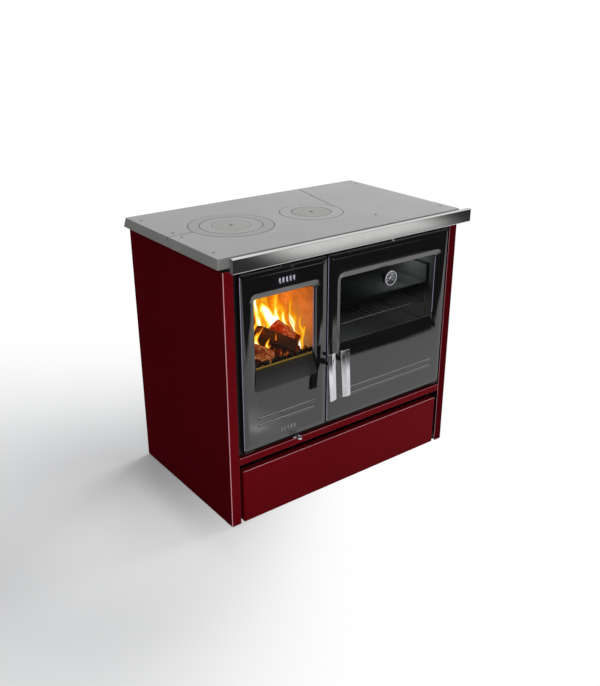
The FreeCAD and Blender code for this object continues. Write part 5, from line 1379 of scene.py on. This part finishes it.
# The fire
@dataclass(frozen=True)
class FireLog:
    """One burning log between two points, round or split, with scaly bark and worn ends."""

    name: str
    start: Point
    end: Point
    radius: float
    finish: Finish
    seed: int
    split: float = 0.0
    split_turn: float = 0.0
    lumps: float = 0.1
    around: int = 96
    along: int = 110
    dome: float = 0.07
    bark: float = 0.035
    scale: float = 0.022
    bend: float = 0.08
    lump_waves: Tuple[int, int, int, float] = (7, 1, 5, 9)
    bark_waves: Tuple[int, int, int, float] = (12, 7, 22, 16)
    scale_waves: Tuple[int, int, int, float] = (12, 10, 30, 60)
    lump_share: float = 0.6
    split_rough: float = 0.02
    split_side: float = 0.05

    def waves(self, turn: np.ndarray, reach: np.ndarray, rng: np.random.Generator, count: int,
              low: int, high: int, stretch: float) -> np.ndarray:
        """A sum of cosines that closes round the log: cos(k turn + m reach + phase).

        Args:
            turn: angles about the log.
            reach: shares of its length.
            rng: source of the random k, m and phases.
            count: number of cosines.
            low: least whole number of waves round the log.
            high: one more than the greatest.
            stretch: greatest m.

        Returns:
            The sum at each turn and reach.
        """
        total = np.zeros(np.broadcast(turn, reach).shape)
        for _ in range(count):
            k = rng.integers(low, high)
            total += np.cos(k * turn + rng.uniform(-stretch, stretch) * reach
                            + rng.uniform(0, 2 * np.pi)) / count ** 0.5
        return total

    def build(self) -> Thing:
        """The radius is the log's own, less where it was split, times lumps and bark ridges.

        Each ring stands square to the line between the ends. Past either end the rings shrink to
        a point over a short worn dome.

        Returns:
            The finished log.
        """
        rng = np.random.default_rng(self.seed)
        start, end = np.array(self.start), np.array(self.end)
        axis = end - start
        length = np.linalg.norm(axis)
        axis /= length
        side = np.cross(axis, (0, 0, 1))
        side /= np.linalg.norm(side)
        up = np.cross(side, axis)
        turn = np.linspace(0, 2 * np.pi, self.around, endpoint=False)[None, :]
        share = np.linspace(0, 1, self.along)[:, None]
        ends = np.clip(np.minimum(share, 1 - share) / self.dome, 0, 1)
        taper = np.sqrt(np.clip(1 - (1 - ends) ** 4, 0, 1))
        lumps = self.waves(turn, share, rng, *self.lump_waves)
        bark = self.waves(turn, share, rng, *self.bark_waves)
        scales = self.waves(turn, share, rng, *self.scale_waves)
        radius = self.radius * (1 + self.lumps * lumps * self.lump_share
                                + self.bark * np.abs(bark) + self.scale * scales)
        if self.split:
            facing = np.cos(turn - math.radians(self.split_turn))
            chord = self.radius * (1 - self.split) / np.clip(facing, self.split_side, 1)
            chord = chord * (1 + self.split_rough * bark)
            radius = np.where(facing > self.split_side, np.minimum(radius, chord), radius)
        radius = radius * taper
        bend = self.bend * self.radius * np.sin(np.pi * share)
        place = (start + axis * length * share[..., None] * np.ones((1, self.around, 1))
                 + side * (radius * np.cos(turn))[..., None]
                 + up * (radius * np.sin(turn) + bend)[..., None])
        mesh = mesh_from(self.name, place.reshape(-1, 3), grid_faces(self.along, self.around, True))
        tidy_faces(mesh)
        return present(mesh, self.finish, Body.ROOT)


@dataclass(frozen=True)
class Tongue:
    """One lick of flame on a curtain: where it stands and how it rises."""

    foot: float
    height: float
    width: float
    lean: float = 0.0
    sway: float = 0.006
    turns: float = 1.2
    phase: float = 0.0
    heat: float = 0.8
    start: float = 0.0


@dataclass(frozen=True)
class FlameCurtain:
    """A rippling curtain of flame between two feet, its heat summed from single licks."""

    name: str
    left: Tuple[float, float]
    right: Tuple[float, float]
    low: float
    high: float
    tongues: Tuple[Tongue, ...]
    finish: Finish
    seed: int
    extra: int = 10
    haze: float = 0.1
    side_fade: float = 0.06
    top_fade: float = 0.03
    ripple: float = 0.008
    columns: int = 200
    rows: int = 150
    broad_ripple: Tuple[float, float] = (62, 25)
    fine_ripple: Tuple[float, float] = (130, 60)
    fine_share: float = 0.5
    calm_foot: float = 0.05
    calm_share: float = 0.2
    foot_width: float = 0.35
    swell: float = 1.1
    tip_width: float = 0.02
    tip_power: float = 0.75
    tip_fade: float = 0.25
    foot_fade: float = 0.08
    cooling: float = 0.35
    join: int = 4

    def licks(self, rng: np.random.Generator, width: float) -> List[Tongue]:
        """The drawn licks and a few small random ones.

        Args:
            rng: source of the random ones.
            width: width of the curtain.

        Returns:
            All of them.
        """
        found = list(self.tongues)
        tall = self.high - self.low
        for _ in range(self.extra):
            found.append(Tongue(rng.uniform(0, width), tall * rng.uniform(0.25, 0.8),
                                rng.uniform(0.004, 0.012), rng.uniform(-0.25, 0.25),
                                rng.uniform(0.002, 0.008), rng.uniform(0.8, 2.0),
                                rng.uniform(0, 6.28), rng.uniform(0.35, 0.6)))
        return found

    def heat(self, across: np.ndarray, rise: np.ndarray, rng: np.random.Generator,
             width: float) -> np.ndarray:
        """Heat over the curtain.

        Each lick is a bell about a swaying middle line, narrower with height, that fades at its
        tip. The licks join as the root of the sum of their powers.

        Args:
            across: distances along the feet.
            rise: heights above them.
            rng: source of the random licks.
            width: width of the curtain.

        Returns:
            Heat at each height and distance.
        """
        total = np.zeros(np.broadcast(across, rise).shape)
        for lick in self.licks(rng, width):
            t = (rise - lick.start) / lick.height
            inside = np.clip(t, 0, 1)
            sway = lick.sway * np.sin(2 * np.pi * lick.turns * t + lick.phase) * inside
            middle = lick.foot + lick.lean * rise + sway
            narrower = np.clip(1 - inside, self.tip_width, 1) ** self.tip_power
            half = lick.width * (self.foot_width + self.swell * np.sqrt(inside)) * narrower
            bell = np.exp(-((across - middle) / half) ** 2)
            fade = (np.clip((1 - t) / self.tip_fade, 0, 1)
                    * np.clip((t + self.foot_fade) / self.foot_fade, 0, 1))
            total += (lick.heat * bell * fade * (1 - self.cooling * inside)) ** self.join
        return total ** (1 / self.join)

    def build(self) -> Thing:
        """A grid along the line of the feet and upwards, rippled across the line by two sines.

        Returns:
            The finished curtain.
        """
        rng = np.random.default_rng(self.seed)
        left, right = np.array(self.left), np.array(self.right)
        width = float(np.linalg.norm(right - left))
        along = (right - left) / width
        square = np.array([along[1], -along[0]])
        across = np.linspace(0, width, self.columns)[None, :]
        rise = np.linspace(0, self.high - self.low, self.rows)[:, None]
        heat = self.heat(across, rise, rng, width)
        edge = np.clip(np.minimum(across, width - across) / (self.side_fade * width), 0, 1)
        top = np.clip((self.high - self.low - rise) / self.top_fade, 0, 1)
        heat = (heat + self.haze) * edge * np.sqrt(top)
        (broad_x, broad_z), (fine_x, fine_z) = self.broad_ripple, self.fine_ripple
        ripples = (np.sin(across * broad_x + rise * broad_z + self.seed)
                   + self.fine_share * np.sin(across * fine_x - rise * fine_z))
        wave = self.ripple * ripples * np.clip(rise / self.calm_foot, self.calm_share, 1)
        points = np.stack([left[0] + along[0] * across + square[0] * wave,
                           left[1] + along[1] * across + square[1] * wave,
                           self.low + rise + 0 * across], -1).reshape(-1, 3)
        mesh = mesh_from(self.name, points, grid_faces(self.rows, self.columns))
        carried = mesh.attributes.new("warmth", "FLOAT", "POINT")
        carried.data.foreach_set("value", heat.astype(np.float32).ravel())
        thing = present(mesh, self.finish, Body.ROOT)
        thing.visible_shadow = False
        return thing


@dataclass(frozen=True)
class CoalBed:
    """Loose glowing coals heaped on the grate."""

    low: Tuple[float, float] = (-0.37, -0.232)
    high: Tuple[float, float] = (-0.13, 0.11)
    grate: float = 0.4805
    count: int = 420
    size: float = 0.0085
    heap: float = 0.018
    dent: float = 0.22
    size_span: Tuple[float, float] = (0.5, 1.5)
    stretch_span: Tuple[float, float] = (0.6, 1.3)
    seed: int = 5

    def build(self) -> Thing:
        """Copies of one small ball, each stretched, turned and dented by random arrays.

        Returns:
            The finished bed.
        """
        rng = np.random.default_rng(self.seed)
        ball = bmesh.new()
        bmesh.ops.create_icosphere(ball, subdivisions=1, radius=1.0)
        shape = np.array([vert.co[:] for vert in ball.verts])
        faces = np.array([[vert.index for vert in face.verts] for face in ball.faces])
        ball.free()
        size = self.size * rng.uniform(*self.size_span, (self.count, 1, 1))
        dents = 1 + self.dent * rng.standard_normal((self.count, len(shape), 1))
        stretch = rng.uniform(*self.stretch_span, (self.count, 1, 3))
        turn = rng.uniform(0, 2 * np.pi, (self.count, 1))
        local = shape[None] * dents * stretch * size
        spun = np.stack([local[..., 0] * np.cos(turn) - local[..., 1] * np.sin(turn),
                         local[..., 0] * np.sin(turn) + local[..., 1] * np.cos(turn),
                         local[..., 2]], -1)
        x = rng.uniform(self.low[0], self.high[0], self.count)
        y = rng.uniform(self.low[1], self.high[1], self.count)
        mound = self.heap * rng.uniform(0, 1, self.count)
        lowest = spun[..., 2].min(1)
        middle = np.stack([x, y, self.grate - lowest + mound], -1)
        points = np.clip(spun + middle[:, None], (self.low[0], self.low[1], self.grate),
                         (self.high[0], self.high[1], 1))
        every = (faces[None] + len(shape) * np.arange(self.count)[:, None, None]).reshape(-1, 3)
        mesh = mesh_from("glowing_coals", points.reshape(-1, 3), every)
        return present(mesh, Finish.COALS, Body.ROOT)


FLAME_LIGHT: Colour = (1.0, 0.27, 0.02)
OVEN_LIGHT: Colour = (0.94, 1.0, 0.96)


@dataclass
class Fire:
    """The lit fire on the grate: logs, coals, flames and the light that they throw."""

    points: Tuple[Tuple[str, Point, float, Colour, float], ...] = (
        ("fire_glow", (-0.25, -0.08, 0.62), 1.25, FLAME_LIGHT, 0.05),
        ("fire_glow_low", (-0.22, -0.2, 0.6), 0.25, FLAME_LIGHT, 0.03),
        ("oven_light", (0.31, -0.16, 0.67), 1.0, OVEN_LIGHT, 0.03),
        ("oven_light_low", (0.16, -0.14, 0.49), 0.7, OVEN_LIGHT, 0.03),
    )
    window: Point = (-0.247, -0.2742, 0.61)
    window_size: float = 0.19
    window_power: float = 0.12
    window_light: Colour = (1.0, 0.6, 0.12)
    logs: Tuple[FireLog, ...] = (
        FireLog("burning_log_right", (-0.185, -0.125, 0.548), (-0.150, -0.205, 0.508), 0.027,
                Finish.CHAR_RED, 3, lumps=0.12),
        FireLog("burning_log_front", (-0.262, -0.135, 0.548), (-0.168, -0.222, 0.500), 0.027,
                Finish.CHAR_DARK, 8, 0.34, 60.0),
        FireLog("burning_log_left", (-0.352, -0.17, 0.545), (-0.258, -0.23, 0.499), 0.024,
                Finish.CHAR_END, 12, 0.2, 100.0),
        FireLog("burning_log_back", (-0.345, 0.03, 0.52), (-0.165, -0.03, 0.515), 0.032,
                Finish.CHAR_END, 21),
        FireLog("burning_log_rear", (-0.33, -0.03, 0.57), (-0.23, 0.09, 0.51), 0.027,
                Finish.CHAR_RED, 30),
    )

    def curtains(self) -> List[FlameCurtain]:
        """The curtains of flame, from the back to the front.

        Returns:
            All of them.
        """
        return [
            FlameCurtain("flames_along_wall", (-0.136, 0.09), (-0.136, -0.228), 0.49, 0.70, (
                Tongue(0.03, 0.2, 0.05, 0.1, heat=0.5), Tongue(0.09, 0.2, 0.045, heat=0.45),
                Tongue(0.15, 0.2, 0.04, 0.05, heat=0.36),
                Tongue(0.297, 0.13, 0.013, -0.42, 0.003, heat=1.15),
                Tongue(0.272, 0.125, 0.017, -0.3, 0.004, heat=1.05),
                Tongue(0.285, 0.17, 0.03, -0.25, 0.005, heat=0.55),
                Tongue(0.309, 0.09, 0.009, -0.05, 0.003, heat=0.9)),
                Finish.FLAME_BACK, 2, 5, 0.1),
            FlameCurtain("flames_behind_logs", (-0.33, 0.0), (-0.134, -0.165), 0.5, 0.7, (
                Tongue(0.236, 0.135, 0.034, -0.66, 0.004, heat=1.6),
                Tongue(0.23, 0.18, 0.055, -0.2, 0.006, heat=0.5),
                Tongue(0.215, 0.13, 0.018, -0.1, heat=1.1),
                Tongue(0.244, 0.115, 0.012, -0.2, heat=1.0),
                Tongue(0.156, 0.2, 0.011, -0.12, heat=1.0),
                Tongue(0.12, 0.2, 0.013, -0.1, heat=0.85),
                Tongue(0.19, 0.2, 0.018, 0.12, heat=0.55),
                Tongue(0.08, 0.2, 0.02, 0.1, heat=0.7)),
                Finish.FLAME, 4, 8, 0.02),
            FlameCurtain("flames_before_logs", (-0.36, -0.12), (-0.2, -0.225), 0.483, 0.65, (
                Tongue(0.15, 0.062, 0.011, -1.15, 0.002, heat=1.15),
                Tongue(0.1, 0.1, 0.011, heat=0.95), Tongue(0.072, 0.11, 0.008, 0.45, heat=0.9),
                Tongue(0.128, 0.07, 0.008, 0.1, heat=0.85),
                Tongue(0.165, 0.04, 0.006, 0.2, heat=0.8)),
                Finish.FLAME, 6, 4, 0.0),
        ]

    def glow(self) -> None:
        """The lamps inside the firebox and the oven, and one at the firebox's pane."""
        for name, place, power, colour, radius in self.points:
            hang_lamp(name, "POINT", place, power, colour, shadow_soft_size=radius)
        x, y, z = self.window
        hang_lamp("window_glow", "AREA", self.window, self.window_power, self.window_light,
                  (x, y + 1, z), shape="RECTANGLE", size=self.window_size,
                  size_y=self.window_size)

    def build(self) -> None:
        """Lay the coals and logs, light the flames."""
        CoalBed().build()
        for log in self.logs:
            log.build()
        for curtain in self.curtains():
            curtain.build()
        self.glow()


# The studio
@dataclass(frozen=True)
class Card:
    """A soft-edged board that only shows in reflections, as a photographer would hold one."""

    name: str
    corner: Point
    side_a: Point
    side_b: Point
    strength: float
    colour: Colour = (1.0, 1.0, 1.0)
    soft: float = 0.3

    def build(self) -> Thing:
        """A flat square with a map of its own, bright inside and fading out at its rim.

        Returns:
            The card.
        """
        corner, a, b = (np.array(v, float) for v in (self.corner, self.side_a, self.side_b))
        mesh = mesh_from(self.name, np.array([corner, corner + a, corner + a + b, corner + b]),
                         [(0, 1, 2, 3)], False)
        layer = mesh.uv_layers.new(name="board")
        layer.data.foreach_set("uv", np.array([0, 0, 1, 0, 1, 1, 0, 1], float))
        n = Nodes(self.name)
        n.tree.nodes.remove(n.shader)
        away = [n.math("ABSOLUTE", n.math("SUBTRACT", side, 0.5))
                for side in n.axes(n.coordinates.outputs["UV"])[:2]]
        fades = [n.ramp(far, 1, 0, 0.5 - self.soft / 2, 0.5, smooth=True) for far in away]
        clear = n.add("ShaderNodeBsdfTransparent").outputs[0]
        board = n.mix(n.math("MULTIPLY", *fades), clear, n.emit(self.strength, self.colour))
        n.link(board, n.output.inputs["Surface"])
        mesh.materials.append(n.material)
        thing = new_thing(self.name, mesh)
        for ray in ("camera", "diffuse", "transmission", "volume_scatter", "shadow"):
            setattr(thing, f"visible_{ray}", False)
        return thing


@dataclass
class Studio:
    """White floor, soft lights, reflection cards and the camera."""

    camera_place: Point = (-1.5038, -2.0095, 1.4829)
    camera_pitch: float = 66.675
    camera_turn: float = -37.11
    focal: float = 42.28
    sensor: float = 36.0
    floor_half: float = 30.0
    floor_colour: float = 0.85
    floor_lift: float = 0.16
    lift_round: Tuple[float, float] = (0.5, 1.4)
    # A painted pool of light on the floor just left of the stove, in its shadow.
    painted_pool_place: Point = (-0.70, -0.1, 0.0)
    painted_pool_strength: float = 0.22
    painted_pool_reach: Tuple[float, float] = (0.05, 0.5)
    painted_pool_edge: Tuple[float, float] = (-0.6, -0.46)
    shade_across: Tuple[float, float] = (-0.52, 0.22)
    shade_back: Tuple[float, float] = (-0.05, 1.1)
    shade_round: Tuple[float, float] = (2.0, 3.6)
    mirror_near: float = 0.95
    mirror_far: float = 0.035
    mirror_edge: Tuple[float, float] = (-1.5, -1.3)
    mirror_left: Tuple[float, float] = (-0.35, -0.1)
    mirror_slope: float = -0.5
    world_light: float = 0.5
    world_colour: Colour = (0.96, 0.98, 1.0)
    world_gloss: Tuple[float, float] = (0.35, 1.0)
    world_gloss_rise: float = 0.4
    lamps: Tuple[Tuple[str, Point, Point, Tuple[float, float], float], ...] = (
        ("key_lamp", (2.9, 0.4, 1.9), (0.0, 0.0, 0.2), (3.0, 1.2), 110.0),
        ("front_lamp", (-1.6, -2.5, 1.1), (0.0, 0.0, 0.2), (1.0, 0.8), 14.0),
    )
    pins: Tuple[Tuple[str, Point, float, Colour], ...] = (
        ("upper_slots_pin", (-0.243, -0.272, 0.755), 26.0, (0.9, 0.82, 1.0)),
        ("lower_slots_pin", (-0.243, -0.272, 0.283), 14.0, (1.0, 1.0, 1.0)),
    )
    pin_share: float = 0.5
    pin_cone: float = 4.2
    pin_blend: float = 0.6
    pin_size: float = 0.01
    cards: Tuple[Card, ...] = (
        Card("rail_card", (1.1, -2.92, 0.004), (1.8, 0, 0), (0, 0.57, 0), 0.97, soft=0.46),
        Card("left_floor", (-0.38, -2.7, 0.005), (0.46, 0, 0), (0, 1.4, 0), 0.95, soft=0.25),
        Card("blade_card", (0.4, -1.5, 0.006), (0.5, 0, 0), (0, 0.28, 0), 1.35, soft=0.8),
        Card("door_glow", (-0.2, -1.02, 0.006), (0.32, 0, 0), (0, 0.44, 0), 1.5, soft=1.0),
        Card("door_glint", (-0.1, -0.79, 0.008), (0.11, 0, 0), (0, 0.09, 0), 2.4, soft=1.0),
    )

    def camera(self) -> None:
        """The camera at the photograph's viewing angle."""
        data = bpy.data.cameras.new("photo_camera")
        data.sensor_width = self.sensor
        data.lens = self.focal
        thing = bpy.data.objects.new("photo_camera", data)
        thing.location = self.camera_place
        thing.rotation_euler = (math.radians(self.camera_pitch), 0, math.radians(self.camera_turn))
        bpy.context.scene.collection.objects.link(thing)
        bpy.context.scene.camera = thing

    def shadow_zone(self, n: Nodes) -> Socket:
        """Where the floor keeps its shading for the camera.

        It is the product of three smooth fades: along the camera's right, along its view and
        with the distance from the cooker.

        Args:
            n: the floor's nodes.

        Returns:
            1 in the zone and 0 outside.
        """
        turn = math.radians(self.camera_turn)
        right, ahead = (math.cos(turn), math.sin(turn), 0), (-math.sin(turn), math.cos(turn), 0)
        spans = ((n.measure("DOT_PRODUCT", n.here, right), self.shade_across),
                 (n.measure("DOT_PRODUCT", n.here, ahead), self.shade_back),
                 (n.measure("LENGTH", n.here), self.shade_round))
        fades = [n.ramp(source, 1, 0, *span, smooth=True) for source, span in spans]
        return n.math("MULTIPLY", n.math("MULTIPLY", *fades[:2]), fades[2])

    def lift(self, n: Nodes) -> Socket:
        """How much the floor glows for the camera: more with the distance, and in a painted pool of
        light left of the stove.

        Args:
            n: the floor's nodes.

        Returns:
            The strength.
        """
        painted_pool = n.math("MULTIPLY", n.ramp(n.measure("DISTANCE", n.here, self.painted_pool_place),
                                           self.painted_pool_strength, 0, *self.painted_pool_reach, smooth=True),
                        n.ramp(n.axes(n.here)[0], 1, 0, *self.painted_pool_edge, smooth=True))
        general = n.ramp(n.measure("LENGTH", n.here), 0, self.floor_lift, *self.lift_round,
                         smooth=True)
        return n.math("ADD", general, painted_pool)

    def reflected(self, n: Nodes) -> Socket:
        """How bright the floor is in gloss: bright behind an edge in front of the stove.

        Left of a slanting line it is dim as well.

        Args:
            n: the floor's nodes.

        Returns:
            The strength.
        """
        x, y = n.axes(n.here)[:2]
        front = n.ramp(y, 0, 1, *self.mirror_edge, smooth=True)
        left = n.ramp(n.math("ADD", x, n.math("MULTIPLY", y, self.mirror_slope)), 0, 1,
                      *self.mirror_left, smooth=True)
        return n.ramp(n.math("MULTIPLY", front, left), self.mirror_far, self.mirror_near)

    def floor(self) -> None:
        """A wide floor: white to the camera with the soft shadow kept, and dim far off in gloss."""
        half = self.floor_half
        mesh = mesh_from("studio_floor", np.array([(-half, -half, 0), (half, -half, 0),
                                                   (half, half, 0), (-half, half, 0)]),
                         [(0, 1, 2, 3)], False)
        n = Nodes("studio_floor")
        n.set(Base_Color=(self.floor_colour,) * 3, Roughness=1.0, Specular_IOR_Level=0.0)
        path, near = n.add("ShaderNodeLightPath"), n.add("ShaderNodeAddShader")
        n.link(n.shader.outputs[0], near.inputs[0])
        n.link(n.emit(self.lift(n)), near.inputs[1])
        seen = n.mix(n.math("SUBTRACT", 1.0, self.shadow_zone(n)), near.outputs[0], n.emit())
        gloss = n.mix(path.outputs["Is Glossy Ray"], n.shader.outputs[0],
                      n.emit(self.reflected(n)))
        n.link(n.mix(path.outputs["Is Camera Ray"], gloss, seen), n.output.inputs["Surface"])
        mesh.materials.append(n.material)
        new_thing("studio_floor", mesh)

    def world(self) -> None:
        """A pale surround: white to the camera, and in gloss white above and dim at the horizon."""
        world = bpy.data.worlds.new("studio_world")
        world.use_nodes = True
        n = Wiring(world.node_tree)
        output, path = n.add("ShaderNodeOutputWorld"), n.add("ShaderNodeLightPath")
        height = n.axes(n.add("ShaderNodeTexCoord").outputs["Generated"])[2]
        gloss = n.ramp(height, *self.world_gloss, 0, self.world_gloss_rise, smooth=True)
        light, seen, mirror = (
            n.feed(n.add("ShaderNodeBackground"), Color=colour, Strength=strength).outputs[0]
            for colour, strength in ((self.world_colour, self.world_light),
                                     ((1.0, 1.0, 1.0), 1.0), ((1.0, 1.0, 1.0), gloss)))
        plain = n.mix(path.outputs["Is Glossy Ray"], light, mirror)
        n.link(n.mix(path.outputs["Is Camera Ray"], plain, seen), output.inputs["Surface"])
        bpy.context.scene.world = world

    def light(self) -> None:
        """Hang the soft lamps, and the narrow ones on the lines from the camera to the slots."""
        for name, place, aim, (wide, high), power in self.lamps:
            hang_lamp(name, "AREA", place, power, aim=aim, shape="RECTANGLE", size=wide,
                      size_y=high)
        for name, aim, power, colour in self.pins:
            place = Vector(aim).lerp(Vector(self.camera_place), self.pin_share)
            hang_lamp(name, "SPOT", place, power, colour, aim, spot_blend=self.pin_blend,
                      spot_size=math.radians(self.pin_cone), shadow_soft_size=self.pin_size)

    def build(self) -> None:
        """Set up the whole studio."""
        bpy.context.scene.view_settings.view_transform = "Standard"
        self.camera()
        self.floor()
        self.world()
        for card in self.cards:
            card.build()
        self.light()
        LOG.info("studio ready")


def main() -> None:
    """Build the pieces in order."""
    logging.basicConfig(level=logging.INFO, format="%(name)s %(message)s")
    Studio().build()
    dress_nodes()
    Carcass().build()
    Hob().build()
    FrontRail().build()
    Doors().build()
    ThermometerDial().build()
    Fire().build()


if __name__ == "__main__":
    main()
